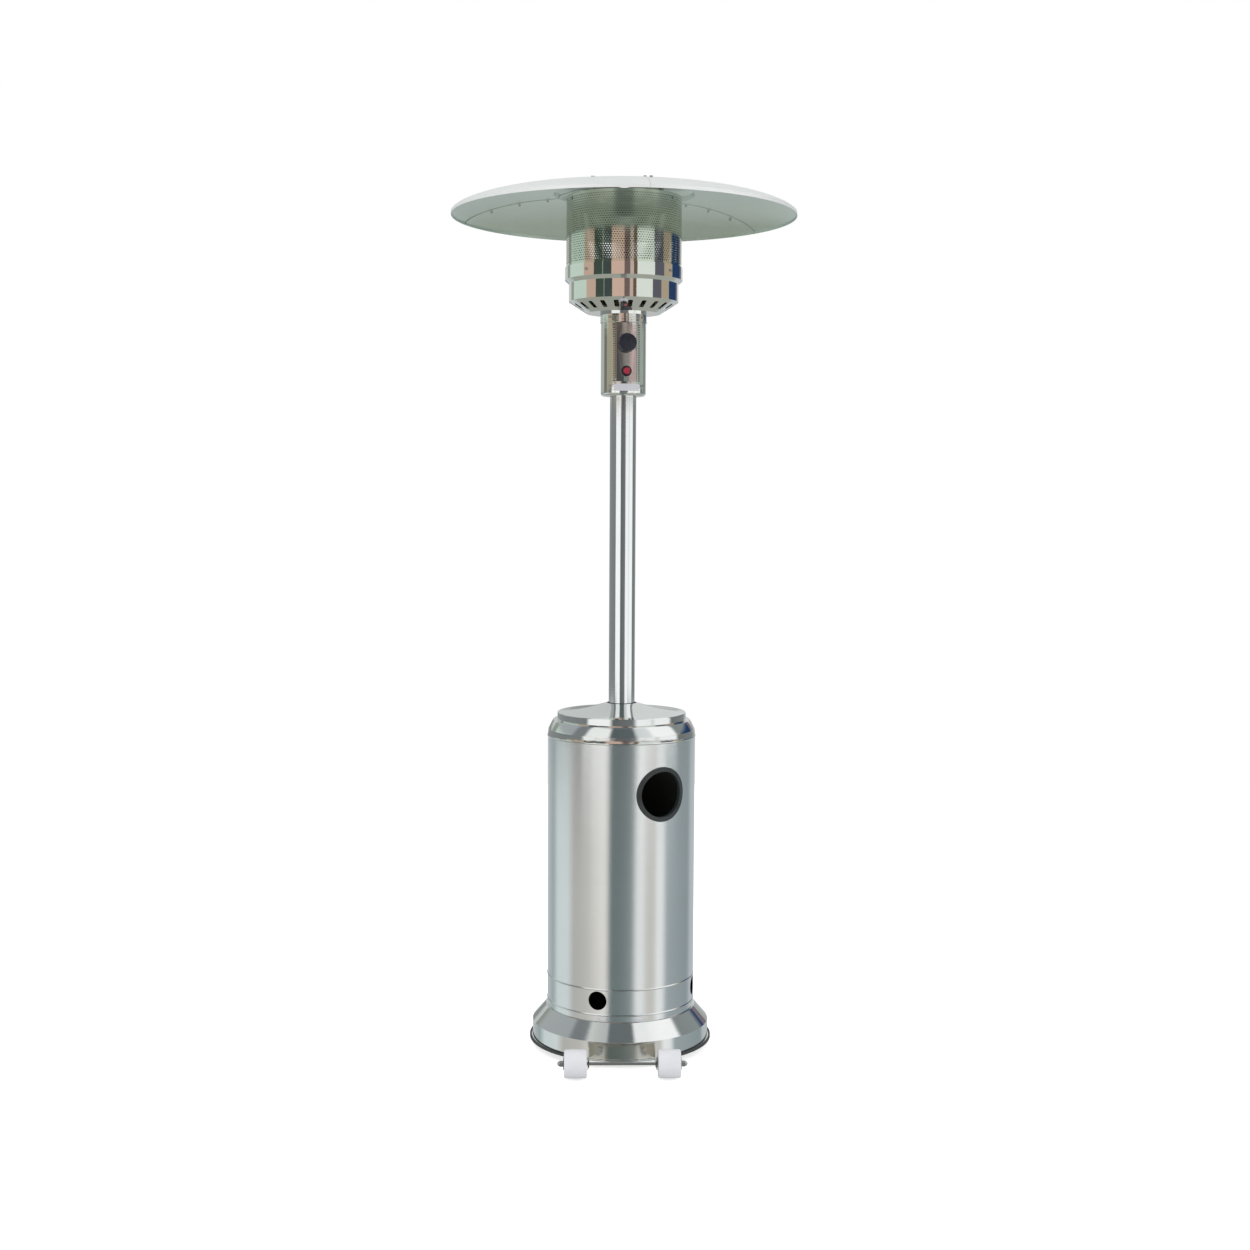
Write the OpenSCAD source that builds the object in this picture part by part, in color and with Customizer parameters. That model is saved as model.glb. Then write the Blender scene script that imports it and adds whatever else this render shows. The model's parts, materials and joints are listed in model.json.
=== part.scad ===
// Gas patio heater with a round base, a lift-up bottle housing, a pole, a burner head and a
// three-panel reflector. The origin is on the ground under the pole. The front looks along -Y.

/* [Base] */
// Height of the rubber feet
foot_h = 18.8; // [12:0.2:26]
// Diameter of each foot at the floor
foot_d = 40; // [30:1:50]
// Radius of the circle that the feet stand on
foot_ring_r = 150; // [130:1:160]
// Thickness of the base plate
base_plate_t = 2.2; // [1.5:0.1:4]
// Radius of the band under the cone
band_r = 225.5; // [215:0.5:226]
// Width of the skirt's flange beyond the band
flange_w = 4.1; // [3:0.1:8]
// Height of the band
band_h = 44; // [30:1:60]
// Height of the cone above the band
cone_h = 39; // [25:1:60]
// Radius of the cone's neck
neck_r = 191; // [189.5:0.5:200]
// Sheet thickness of the skirt
skirt_t = 1.2; // [0.8:0.1:2]
// Depth of the bottle deck below the neck
deck_drop = 4.5; // [3:0.5:12]
// Height of the folded lip that centres the housing
lip_h = 11; // [6:1:20]

/* [Wheels] */
// Wheel diameter
wheel_d = 69; // [60:1:74]
// Wheel width
wheel_w = 55; // [40:1:60]
// Distance from the middle to the centre of each wheel
wheel_x = 113.5; // [112:0.5:125]
// Axle's distance in front of the pole's axis
axle_y = 300; // [275:1:310]
// Gap between the wheels and the ground
wheel_lift = 3.9; // [0.5:0.1:5]
// Axle diameter
axle_d = 8; // [6:0.5:10]
// Width of the bracket
bracket_w = 160; // [120:1:164]
// Height of the bracket's plate
bracket_h = 36; // [28:1:38]
// Thickness of the bracket's sheet
bracket_t = 2.5; // [1.5:0.1:3]

/* [Bottle housing] */
// Outer radius of the housing
house_r = 187.5; // [187:0.1:189]
// Height of the rolled tube
house_h = 691.7; // [620:1:740]
// Sheet thickness of the housing
house_t = 1; // [0.6:0.1:1.2]
// Height of the lower pressed bead above the tube's bottom
bead_low_h = 16.7; // [10:0.5:28]
// Height of the upper pressed bead
bead_high_h = 80.3; // [78:0.5:100]
// Diameter of the low vents
vent_d = 47; // [30:1:48]
// Height of the vents' centres above the tube's bottom
vent_h = 52.7; // [50:0.5:54]
// Diameter of the hand hole's clear opening
hand_d = 114; // [90:1:120]
// Width of the hand hole trim's ring
hand_ring_w = 11; // [8:0.5:14]
// Height of the hand holes above the tube's bottom
hand_h = 566.7; // [480:1:600]
// Azimuth of the front hand hole, to the viewer's right of the front
hand_az = 31.5; // [20:0.5:50]
// Height of the shoulder's lower step
shoulder_low_h = 19; // [12:1:24]
// Height of the shoulder's upper curve
shoulder_high_h = 23.5; // [18:0.5:30]
// Radius of the shoulder's shelf edge
shelf_r = 173.5; // [168:0.5:178]
// Outer radius of the top cover's skirt
cover_r = 163.8; // [150:0.2:166]
// Height of the cover's skirt
cover_skirt_h = 16; // [12:0.5:22]
// Rise of the cover's shallow cone
cover_rise = 13; // [8:0.5:30]
// Height of the cover's neck above the cone
cover_neck_h = 7; // [5:0.5:15]
// Free travel of the housing up the pole
lift_travel = 700; // [300:10:740]

/* [Pole and supports] */
// Pole diameter
pole_d = 66; // [60:0.5:70]
// Wall of the pole
pole_t = 1.5; // [1:0.1:3]
// Length of the pole between its flanges
pole_l = 829.3; // [770:0.1:870]
// Radius at which the support legs stand
leg_r = 172; // [168:0.5:174]
// Width of a leg
leg_w = 28; // [22:1:32]
// Thickness of the leg's steel
leg_t = 3; // [2:0.1:3.5]
// Length of a leg
leg_l = 728.5; // [700:0.5:740]
// Radius of the post plate's hub
post_hub_r = 92; // [80:1:110]
// Thickness of the post plate
post_plate_t = 3; // [2:0.1:5]

/* [Control housing] */
// Outer diameter of the control housing
ctrl_d = 113; // [110:0.5:115]
// Height of the control housing
ctrl_h = 182; // [178:1:200]
// Sheet thickness of the control housing
ctrl_t = 1; // [0.6:0.1:1.5]
// Radius of the housing's bottom edge
ctrl_edge_r = 8; // [5:0.5:9]
// Turn of the controls to the viewer's right
ctrl_az = 8; // [0:1:20]
// Width of the control panel
panel_w = 51.5; // [48:0.5:52]
// Outer diameter of the collar
collar_d = 116.7; // [116.2:0.1:120]
// Height of the collar
collar_h = 24; // [18:0.5:30]
// Diameter of the control knob
knob_d = 48; // [42:0.5:48]
// Height of the knob's cap
knob_h = 19; // [14:0.5:24]
// Travel of the knob when pushed
knob_push = 4; // [2:0.5:4.5]
// Diameter of the igniter's bezel
bezel_d = 26.4; // [24:0.2:28]
// Diameter of the red button
button_d = 17.6; // [15:0.2:18]
// Travel of the red button
button_push = 5; // [3:0.5:5]

/* [Burner head] */
// Outer radius of the bowl's band
bowl_r = 137.25; // [132:0.25:139]
// Radius of the bowl's flat bottom
bowl_flat_r = 92.5; // [85:0.5:100]
// Height of the slotted cone
bowl_cone_h = 28.5; // [24:0.5:34]
// Height of the bowl's band
bowl_band_h = 44; // [36:1:60]
// Height of the chamfer between band and rim
bowl_step_h = 9; // [6:0.5:12]
// Height of the bowl's upper rim
bowl_rim_h = 31; // [24:1:40]
// Sheet thickness of the bowl
bowl_t = 1; // [0.6:0.1:1.2]
// Number of slots in the cone
slot_count = 22; // [12:1:24]
// Width of a slot
slot_w = 12; // [8:0.5:13]
// Outer diameter of the emitter screen
emitter_d = 288; // [284:0.5:289]
// Height of the emitter screen
emitter_h = 205; // [185:1:220]
// Sheet thickness of the emitter screen
emitter_t = 0.8; // [0.5:0.1:1]
// Diameter of the burner head
burner_d = 140; // [110:1:150]

/* [Reflector] */
// Radius of the reflector's rim
reflector_r = 431; // [400:1:450]
// Height of the rim's upper edge above the emitter's top
rim_drop = 40.5; // [36:0.5:60]
// Rise of the dome from the rim to the boss
dome_rise = 48; // [40:0.5:60]
// Radius of the raised boss
boss_r = 176; // [165:1:180]
// Rise of the boss
boss_rise = 20; // [16:0.5:26]
// Depth of the down-turned lip
lip_drop = 8; // [6:0.5:12]
// Sheet thickness of the panels
panel_t = 0.9; // [0.6:0.1:1.2]
// Azimuth of the first seam
seam_az = 6.6; // [0:0.2:20]

/* [Hidden] */
$fn = 96;

// Shared clearances and overruns
over = 1;
gap = 0.3;
run_gap = 0.08;
slide_gap = 0.5;
full_turn = 360;
pole_r = pole_d / 2;

// Levels of the base
z_base = foot_h + base_plate_t;
z_neck = z_base + band_h + cone_h;
z_deck = z_neck - deck_drop;
z_lip = z_neck + lip_h;
hem_r = house_r - house_t - 0.4 * house_t;
hem_t = 2 * skirt_t + gap;
band_slope = 0.5 * skirt_t;
flange_r = band_r + flange_w;
edge_r = flange_r + 2.4 * skirt_t;
foot_n = 4;
foot_top_share = 0.8;
foot_bore_r = 5;
foot_recess = foot_h / 2;
plate_hole_r = 2.4;
foot_screw_r = 2.2;

// Wheels
wheel_z = wheel_d / 2 + wheel_lift;
wheel_chamfer = wheel_d * 0.12;
hub_r = wheel_d * 0.2;
hub_dish = wheel_w * 0.08;
axle_r = axle_d / 2;
nut_h = axle_d * 1.1;
nut_r = axle_d * 0.95;
nut_dome_r = axle_d * 0.75;
washer_t = bracket_t * 0.6;
ear_x = bracket_w / 2;
ear_in_x = ear_x + bracket_t;
bracket_z = z_base + 3.5 * skirt_t;
bracket_r = band_r + gap;
bolt_x_share = 0.69;
bolt_z_share = 0.66;

// Levels of the housing
z_house = z_neck + gap;
z_house_top = z_house + house_h;
z_step = z_house_top + shoulder_low_h;
z_shelf = z_step + shoulder_high_h;
groove_h = 2.5;
z_cover = z_shelf + groove_h;
z_cover_rim = z_cover + cover_skirt_h;
z_cover_cone = z_cover_rim + cover_rise;
z_cover_neck = z_cover_cone + cover_neck_h;
cover_t = 1.2 * house_t;
neck_out_r = pole_r + 4.2 * cover_t;
neck_foot_r = pole_r + 15 * cover_t;
bead_r = 2.3 * house_t;
ring_t = house_t;
upstand_r = cover_r - cover_t - gap;
spigot_h = 12 * house_t;
seal_h = 3.4 * cover_t;
vent_azimuths_share = [-18.8 / 360, 78 / 360, 161.2 / 360, 258 / 360];
hand_out_r = hand_d / 2 + hand_ring_w;
hand_sleeve_t = hand_ring_w * 0.3;
hand_flange_t = hand_ring_w * 0.3;
hand_sleeve_l = hand_ring_w * 0.7;

// Pole and supports
z_post = z_deck + leg_l;
z_pole = z_post + post_plate_t;
pole_flange_t = 4;
pole_flange_w = 30;
pole_flange_r = pole_r + pole_flange_w;
z_pole_top = z_pole + pole_l;
bolt_r = 4;
bolt_head_r = 1.62 * bolt_r;
bolt_head_h = 1.1 * bolt_r;
pole_bolt_out = 15;
pole_bolt_pcr = pole_r + pole_bolt_out;
head_flange_w = 17;
head_flange_r = pole_r + head_flange_w;
head_bolt_r = 2.5;
head_bolt_out = 9;
head_bolt_pcr = pole_r + head_bolt_out;
leg_azimuths_share = [-78 / 360, 78 / 360, 180 / 360];
tab_l = leg_w * 0.8;
leg_bolt_r = 3;
pipe_r = 5;
pipe_bore_r = 3.6;
inlet_thread_r = 6.58;
inlet_thread_l = 14;
inlet_hex_r = 10;
inlet_hex_l = 12;
inlet_drop = 60;

// Levels of the head
ctrl_r = ctrl_d / 2;
z_ctrl = z_pole_top - pole_flange_t - ctrl_t - gap;
z_ctrl_top = z_ctrl + ctrl_h;
collar_r = collar_d / 2;
collar_t = 1.2 * ctrl_t;
z_collar_top = z_ctrl_top + collar_h;
z_head_plate = z_pole_top;
frame_t = 2.5;
frame_r = ctrl_r - ctrl_t - 6 * gap;
frame_strap_w = 24;
panel_flange = 4 * ctrl_t;
panel_face = sqrt(ctrl_r * ctrl_r - panel_w * panel_w / 4) - panel_flange;
panel_low = 35;
panel_high = 1;
z_knob = z_ctrl + 0.714 * ctrl_h;
z_button = z_ctrl + 0.335 * ctrl_h;
knob_r = knob_d / 2;
knob_back = panel_face + ctrl_t + knob_push + 2 * gap;
esc_t = 0.8 * ctrl_t;
stem_r = 4;
stem_hole_r = stem_r + slide_gap;
flute_n = 20;
flute_r = knob_r * 0.09;
bezel_r = bezel_d / 2;
bezel_h = 5;
button_r = button_d / 2;
bezel_lap = 3.2;
body_r = bezel_r - bezel_lap;
body_l = 34;
louvre_n = 25;
louvre_pitch = 5.7;
louvre_h = 2;
louvre_turn = 34;
screw_turn = 45;
screw_r = 2;
screw_head_r = 1.9 * screw_r;
screw_head_h = screw_r;

// Valve and burner
valve_w = 36;
valve_deep = 40;
valve_h = 46;
valve_front = 26;
stem_deep = 18;
z_valve = z_knob - valve_h / 2;
pilot_x = 24;
pilot_y = 8;
pilot_r = 2;
tube_r = 15;
tube_t = 1.2;
burner_r = burner_d / 2;
burner_h = 22;
burner_t = 1;

// Levels of the bowl, emitter and reflector
z_bowl = z_collar_top;
z_bowl_band = z_bowl + bowl_cone_h;
z_bowl_step = z_bowl_band + bowl_band_h;
z_bowl_wall = z_bowl_step + bowl_step_h;
z_bowl_rim = z_bowl_wall + bowl_rim_h;
emitter_r = emitter_d / 2;
rim_in_r = emitter_r + 2.2;
rim_out_r = rim_in_r + bowl_t;
z_emitter = z_bowl_wall + gap;
z_emitter_top = z_emitter + emitter_h;
z_rim = z_emitter_top - rim_drop;
z_dome = z_rim + dome_rise;
z_boss = z_dome + boss_rise;
hub_hole_r = 14;
lap_gap = 0.25;
lap_turn = 4;
stud_r = 3;
stud_ring_r = 100;
stud_n = 3;
plate_drop = 4;
spacer_r = 7;
seam_spots_share = [0.48, 0.66, 0.84];

// Turns its children to an azimuth, counted from the front towards the viewer's right
module at_azimuth(turn) {
  rotate([0, 0, turn]) children();
}

// A cylinder along the front direction, from one distance to another
module radial_cylinder(r, from, to) {
  rotate([90, 0, 0]) translate([0, 0, from]) cylinder(r = r, h = to - from);
}

// A flat ring with its bottom at z
module ring(r_out, r_in, z, h) {
  translate([0, 0, z]) difference() {
    cylinder(r = r_out, h = h);
    translate([0, 0, -over]) cylinder(r = r_in, h = h + 2 * over);
  }
}

// A hexagon-headed bolt pointing down, with its seat at z
module hex_bolt(r, head_r, head_h, l, z) {
  translate([0, 0, z]) cylinder(r = head_r, h = head_h, $fn = 6);
  translate([0, 0, z - l]) cylinder(r = r, h = l);
}

// A hexagon nut with a clear bore
module hex_nut(r, nut_out, h, z) {
  translate([0, 0, z]) difference() {
    cylinder(r = nut_out, h = h, $fn = 6);
    translate([0, 0, -over]) cylinder(r = r + run_gap, h = h + 2 * over);
  }
}

module foot_places() {
  for (i = [0:foot_n - 1]) at_azimuth((i + 0.5) * full_turn / foot_n) translate([0, -foot_ring_r, 0]) children();
}

module base_plate() {
  color("dimgray") difference() {
    translate([0, 0, foot_h]) cylinder(r = flange_r, h = base_plate_t);
    foot_places() translate([0, 0, foot_h - over]) cylinder(r = plate_hole_r, h = base_plate_t + 2 * over);
  }
}

// One spun sheet: flange, band, cone, neck, centring lip and the deck that the bottle stands on
module base_skirt() {
  band_in = band_r - skirt_t;
  z_band = z_base + band_h;
  color("silver") difference() {
    rotate_extrude() polygon([
      [0, z_deck - skirt_t], [hem_r - skirt_t, z_deck - skirt_t], [hem_r - skirt_t, z_neck - skirt_t],
      [neck_r - band_slope, z_neck - skirt_t], [band_in - band_slope, z_band], [band_in, z_base],
      [flange_r, z_base], [flange_r, z_base + skirt_t], [band_r, z_base + skirt_t],
      [band_r - band_slope, z_band], [neck_r, z_neck], [hem_r, z_neck], [hem_r, z_lip],
      [hem_r - hem_t, z_lip], [hem_r - hem_t, z_deck], [0, z_deck]
    ]);
    leg_places() leg_bolt_place() translate([0, 0, z_deck - skirt_t - over])
      cylinder(r = leg_bolt_r + run_gap, h = skirt_t + 2 * over);
    bracket_bolt_places() radial_cylinder(leg_bolt_r + run_gap, band_r - 4 * skirt_t, band_r + over);
  }
}

// Rubber strip on the flange, open between the wheels
module base_edge_trim() {
  lip_in = band_r + 2 * skirt_t;
  lip_t = skirt_t;
  z_low = foot_h - lip_t;
  z_high = z_base + skirt_t + lip_t;
  open_turn = asin((ear_in_x + wheel_w / 4) / edge_r);
  color("darkslategray") rotate([0, 0, open_turn - 90]) rotate_extrude(angle = full_turn - 2 * open_turn) polygon([
    [lip_in, z_low], [edge_r, z_low], [edge_r, z_high], [lip_in, z_high], [lip_in, z_high - lip_t],
    [flange_r + run_gap, z_high - lip_t], [flange_r + run_gap, z_low + lip_t], [lip_in, z_low + lip_t]
  ]);
}

module rubber_feet() {
  color("black") foot_places() difference() {
    cylinder(r1 = foot_d / 2, r2 = foot_d / 2 * foot_top_share, h = foot_h);
    translate([0, 0, -over]) cylinder(r = foot_bore_r, h = foot_recess + over);
    cylinder(r = plate_hole_r, h = foot_h + over);
  }
}

module foot_screws() {
  nut_z = z_base;
  color("silver") foot_places() {
    translate([0, 0, foot_recess]) cylinder(r = foot_screw_r, h = nut_z + 2 * foot_screw_r - foot_recess);
    translate([0, 0, foot_recess - foot_screw_r]) cylinder(r = 2 * foot_screw_r, h = foot_screw_r);
    translate([0, 0, nut_z]) cylinder(r = 2 * foot_screw_r, h = foot_screw_r * 1.6, $fn = 6);
  }
}

// The bracket's two bolts sit at equal turns each side of the front
module bracket_bolt_places() {
  turn = asin(bolt_x_share * ear_x / bracket_r);
  for (side = [-1, 1]) at_azimuth(side * turn) translate([0, 0, bracket_z + bolt_z_share * bracket_h]) children();
}

module wheel_bracket() {
  plate_y = sqrt(bracket_r * bracket_r - ear_x * ear_x);
  eye_r = axle_d * 1.25;
  color("silver") difference() {
    union() {
      intersection() {
        ring(bracket_r + bracket_t, bracket_r, bracket_z, bracket_h);
        translate([-ear_in_x, -2 * bracket_r, 0]) cube([2 * ear_in_x, 2 * bracket_r, z_neck]);
      }
      for (side = [-1, 1]) translate([side * (ear_x + bracket_t / 2), 0, 0]) rotate([90, 0, -90])
        translate([0, 0, -bracket_t / 2]) linear_extrude(bracket_t) {
          polygon([[plate_y, bracket_z], [axle_y, wheel_z - eye_r], [axle_y, wheel_z + eye_r],
            [plate_y + eye_r, bracket_z + bracket_h], [plate_y, bracket_z + bracket_h]]);
          translate([axle_y, wheel_z]) circle(r = eye_r);
        }
    }
    translate([-bracket_w, -axle_y, wheel_z]) rotate([0, 90, 0]) cylinder(r = axle_r + run_gap / 2, h = 2 * bracket_w);
    bracket_bolt_places() radial_cylinder(leg_bolt_r + run_gap, bracket_r - over, bracket_r + 2 * bracket_t);
  }
}

module bracket_bolts() {
  color("silver") bracket_bolt_places() {
    radial_cylinder(leg_bolt_r, band_r - 7 * skirt_t, bracket_r + bracket_t);
    radial_cylinder(1.7 * leg_bolt_r, bracket_r + bracket_t, bracket_r + bracket_t + leg_bolt_r);
  }
}

// Points along the axle, mirrored to both ends
module axle_ends(x) {
  for (side = [0, 1]) mirror([side, 0, 0]) translate([x, -axle_y, wheel_z]) rotate([0, 90, 0]) children();
}

wheel_out_x = wheel_x + wheel_w / 2;
washer_out_x = wheel_out_x + gap;
nut_x = washer_out_x + washer_t;
axle_end_x = nut_x + 0.8 * nut_h;

module axle() {
  color("silver") translate([-axle_end_x, -axle_y, wheel_z]) rotate([0, 90, 0]) cylinder(r = axle_r, h = 2 * axle_end_x);
}

module axle_nuts() {
  color("silver") axle_ends(nut_x) difference() {
    union() {
      cylinder(r = nut_r, h = nut_h, $fn = 6);
      intersection() {
        translate([0, 0, nut_h]) sphere(r = nut_dome_r);
        cylinder(r = nut_r, h = 3 * nut_h);
      }
    }
    translate([0, 0, -over]) cylinder(r = axle_r + run_gap / 2, h = over + 0.8 * nut_h + run_gap);
  }
}

module axle_washers() {
  color("dimgray") {
    axle_ends(washer_out_x) ring(2 * nut_r, axle_r + run_gap / 2, 0, washer_t);
    axle_ends(ear_in_x) ring(2 * nut_r, axle_r + run_gap / 2, 0, washer_t);
  }
}

module wheel(side) {
  r = wheel_d / 2;
  color("white") translate([side * wheel_x, -axle_y, wheel_z]) rotate([0, 90, 0])
    translate([0, 0, -wheel_w / 2]) rotate_extrude() polygon([
      [axle_r + run_gap, 0], [hub_r, 0], [hub_r, hub_dish], [r - 1.7 * wheel_chamfer, hub_dish],
      [r - 1.5 * wheel_chamfer, 0], [r - wheel_chamfer, 0], [r, wheel_chamfer], [r, wheel_w - wheel_chamfer],
      [r - wheel_chamfer, wheel_w], [r - 1.5 * wheel_chamfer, wheel_w],
      [r - 1.7 * wheel_chamfer, wheel_w - hub_dish], [hub_r, wheel_w - hub_dish], [hub_r, wheel_w],
      [axle_r + run_gap, wheel_w]
    ]);
}

module leg_places() {
  for (share = leg_azimuths_share) at_azimuth(share * full_turn) children();
}

module leg_bolt_place() {
  translate([0, -(leg_r - tab_l * 0.6), 0]) children();
}

// A pressed channel with a bolted tab at each end
module support_leg(index) {
  side_d = 2 * leg_t;
  color("gray") at_azimuth(leg_azimuths_share[index] * full_turn) difference() {
    union() {
      translate([-leg_w / 2, -leg_r - leg_t, z_deck]) cube([leg_w, leg_t, leg_l]);
      for (x = [-leg_w / 2, leg_w / 2 - leg_t]) translate([x, -leg_r - side_d, z_deck]) cube([leg_t, side_d, leg_l]);
      for (z = [z_deck, z_post - leg_t]) translate([-leg_w / 2, -leg_r, z]) cube([leg_w, tab_l, leg_t]);
    }
    leg_bolt_place() translate([0, 0, z_deck - over]) cylinder(r = leg_bolt_r + run_gap, h = leg_l + 2 * over);
  }
}

module leg_bolts() {
  head_r = 1.7 * leg_bolt_r;
  color("silver") leg_places() leg_bolt_place() {
    hex_bolt(leg_bolt_r, head_r, leg_bolt_r, leg_t + 3.4 * leg_bolt_r, z_deck + leg_t);
    hex_bolt(leg_bolt_r, head_r, leg_bolt_r, leg_t + post_plate_t + 2.6 * leg_bolt_r, z_pole);
  }
}

module leg_nuts() {
  nut_out = 1.7 * leg_bolt_r;
  color("silver") leg_places() leg_bolt_place() {
    hex_nut(leg_bolt_r, nut_out, 1.6 * leg_bolt_r, z_deck - skirt_t - 1.6 * leg_bolt_r);
    hex_nut(leg_bolt_r, nut_out, 1.6 * leg_bolt_r, z_post - leg_t - 1.6 * leg_bolt_r);
  }
}

module pole_bolt_places() {
  for (i = [0:3]) at_azimuth((i + 0.5) * full_turn / 4) translate([0, -pole_bolt_pcr, 0]) children();
}

// A three-armed plate that ties the legs together and carries the pole
module post_plate() {
  color("gray") difference() {
    translate([0, 0, z_post]) linear_extrude(post_plate_t) difference() {
      union() {
        circle(r = post_hub_r);
        leg_places() translate([-leg_w, -leg_r - leg_t]) square([2 * leg_w, leg_r]);
      }
      circle(r = pole_r - 2 * pole_t);
    }
    leg_places() leg_bolt_place() translate([0, 0, z_post - over])
      cylinder(r = leg_bolt_r + run_gap, h = post_plate_t + 2 * over);
    pole_bolt_places() translate([0, 0, z_post - over]) cylinder(r = bolt_r + run_gap, h = post_plate_t + 2 * over);
  }
}

module head_bolt_places() {
  at_azimuth(ctrl_az) for (i = [0:3]) at_azimuth((i + 0.5) * full_turn / 4) translate([0, -head_bolt_pcr, 0]) children();
}

// Tube with its welded foot flange and head flange
module pole() {
  color("silver") difference() {
    union() {
      translate([0, 0, z_pole]) cylinder(r = pole_r, h = pole_l);
      translate([0, 0, z_pole]) cylinder(r = pole_flange_r, h = pole_flange_t);
      translate([0, 0, z_pole_top - pole_flange_t]) cylinder(r = head_flange_r, h = pole_flange_t);
    }
    translate([0, 0, z_pole - over]) cylinder(r = pole_r - pole_t, h = pole_l + 2 * over);
    pole_bolt_places() translate([0, 0, z_pole - over]) cylinder(r = bolt_r + run_gap, h = pole_flange_t + 2 * over);
    head_bolt_places() translate([0, 0, z_pole_top - pole_flange_t - over])
      cylinder(r = head_bolt_r + run_gap, h = pole_flange_t + 2 * over);
  }
}

module pole_bolts() {
  color("silver") pole_bolt_places()
    hex_bolt(bolt_r, bolt_head_r, bolt_head_h, pole_flange_t + post_plate_t + 2.4 * bolt_r, z_pole + pole_flange_t);
}

module pole_nuts() {
  color("silver") pole_bolt_places() hex_nut(bolt_r, bolt_head_r, 1.6 * bolt_r, z_post - 1.6 * bolt_r);
}

z_inlet = z_post - inlet_drop;

// Threaded stub, hexagon and a socket that the riser pipe is brazed into
module gas_inlet_fitting() {
  color("goldenrod") difference() {
    union() {
      translate([0, 0, z_inlet]) cylinder(r = inlet_thread_r, h = inlet_thread_l);
      translate([0, 0, z_inlet + inlet_thread_l]) cylinder(r = inlet_hex_r, h = inlet_hex_l, $fn = 6);
    }
    translate([0, 0, z_inlet - over]) cylinder(r = pipe_bore_r, h = inlet_thread_l + inlet_hex_l + 2 * over);
    translate([0, 0, z_inlet + inlet_thread_l + inlet_hex_l / 2]) cylinder(r = pipe_r + run_gap / 2, h = inlet_hex_l);
  }
}

module gas_pipe() {
  color("goldenrod") ring(pipe_r, pipe_bore_r, z_inlet + inlet_thread_l + inlet_hex_l / 2,
    z_valve - z_inlet - inlet_thread_l - inlet_hex_l / 2);
}

// Cuts for the low vents and the hand holes
module housing_openings() {
  for (share = vent_azimuths_share) at_azimuth(share * full_turn) translate([0, 0, z_house + vent_h])
    radial_cylinder(vent_d / 2, house_r / 2, house_r + 4 * over);
  hand_hole_places() radial_cylinder(hand_d / 2 + hand_sleeve_t + gap, house_r / 2, house_r + 4 * over);
}

module hand_hole_places() {
  for (turn = [0, full_turn / 2]) at_azimuth(hand_az + turn) translate([0, 0, z_house + hand_h]) children();
}

// Rolled tube with two pressed beads
module tank_housing() {
  house_in = house_r - house_t;
  color("silver") difference() {
    union() {
      ring(house_r, house_in, z_house, house_h);
      for (h = [bead_low_h, bead_high_h]) rotate_extrude() polygon([
        [house_in + house_t / 2, z_house + h - bead_r], [house_r, z_house + h - bead_r],
        [house_r + bead_r / 2, z_house + h], [house_r, z_house + h + bead_r],
        [house_in + house_t / 2, z_house + h + bead_r]
      ]);
    }
    housing_openings();
  }
}

// The shoulder's curve from the step to the shelf
function shoulder_points(inset, n = 8) = [
  for (i = [0:n]) let (a = 90 * i / n)
    [shelf_r - inset + (house_r - 2 * house_t - shelf_r) * cos(a), z_step - inset + shoulder_high_h * sin(a)]
];

module shoulder_ring() {
  foot_r = house_r + 0.3 * house_t;
  step_r = house_r - house_t;
  spigot_r = house_r - house_t - gap;
  z_up = z_cover_rim - cover_t - gap;
  curve_in = shoulder_points(ring_t);
  color("silver") rotate_extrude() polygon(concat(
    [[spigot_r, z_house_top], [foot_r, z_house_top], [foot_r + bead_r / 2, z_house_top + bead_r],
      [foot_r, z_house_top + 2 * bead_r], [step_r, z_step], [house_r - 2 * house_t, z_step]],
    shoulder_points(0),
    [[upstand_r, z_shelf], [upstand_r, z_up], [upstand_r - ring_t, z_up], [upstand_r - ring_t, z_shelf - ring_t]],
    [for (i = [len(curve_in) - 1:-1:0]) curve_in[i]],
    [[spigot_r - ring_t, z_house_top], [spigot_r - ring_t, z_house_top - spigot_h],
      [spigot_r, z_house_top - spigot_h]]
  ));
}

module top_cover() {
  rim_r = cover_r - cover_t;
  bush_r = neck_out_r - cover_t;
  color("silver") rotate_extrude() polygon([
    [cover_r, z_cover], [cover_r - cover_t / 2, z_cover_rim - cover_t], [rim_r, z_cover_rim],
    [neck_foot_r, z_cover_cone], [neck_out_r + cover_t, z_cover_cone + cover_t], [neck_out_r, z_cover_neck],
    [bush_r, z_cover_neck], [bush_r, z_cover_cone + cover_t], [neck_foot_r, z_cover_cone - cover_t],
    [rim_r - cover_t / 4, z_cover_rim - cover_t], [rim_r, z_cover]
  ]);
}

// Rubber bush in the cover's neck
module pole_seal() {
  in_r = pole_r + slide_gap;
  color("black") rotate_extrude() polygon([
    [in_r, z_cover_cone + 2 * cover_t], [neck_out_r - cover_t - run_gap, z_cover_cone + 2 * cover_t],
    [neck_out_r - cover_t - run_gap, z_cover_neck], [neck_out_r, z_cover_neck],
    [neck_out_r - cover_t / 2, z_cover_neck + seal_h], [in_r, z_cover_neck + seal_h]
  ]);
}

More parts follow.
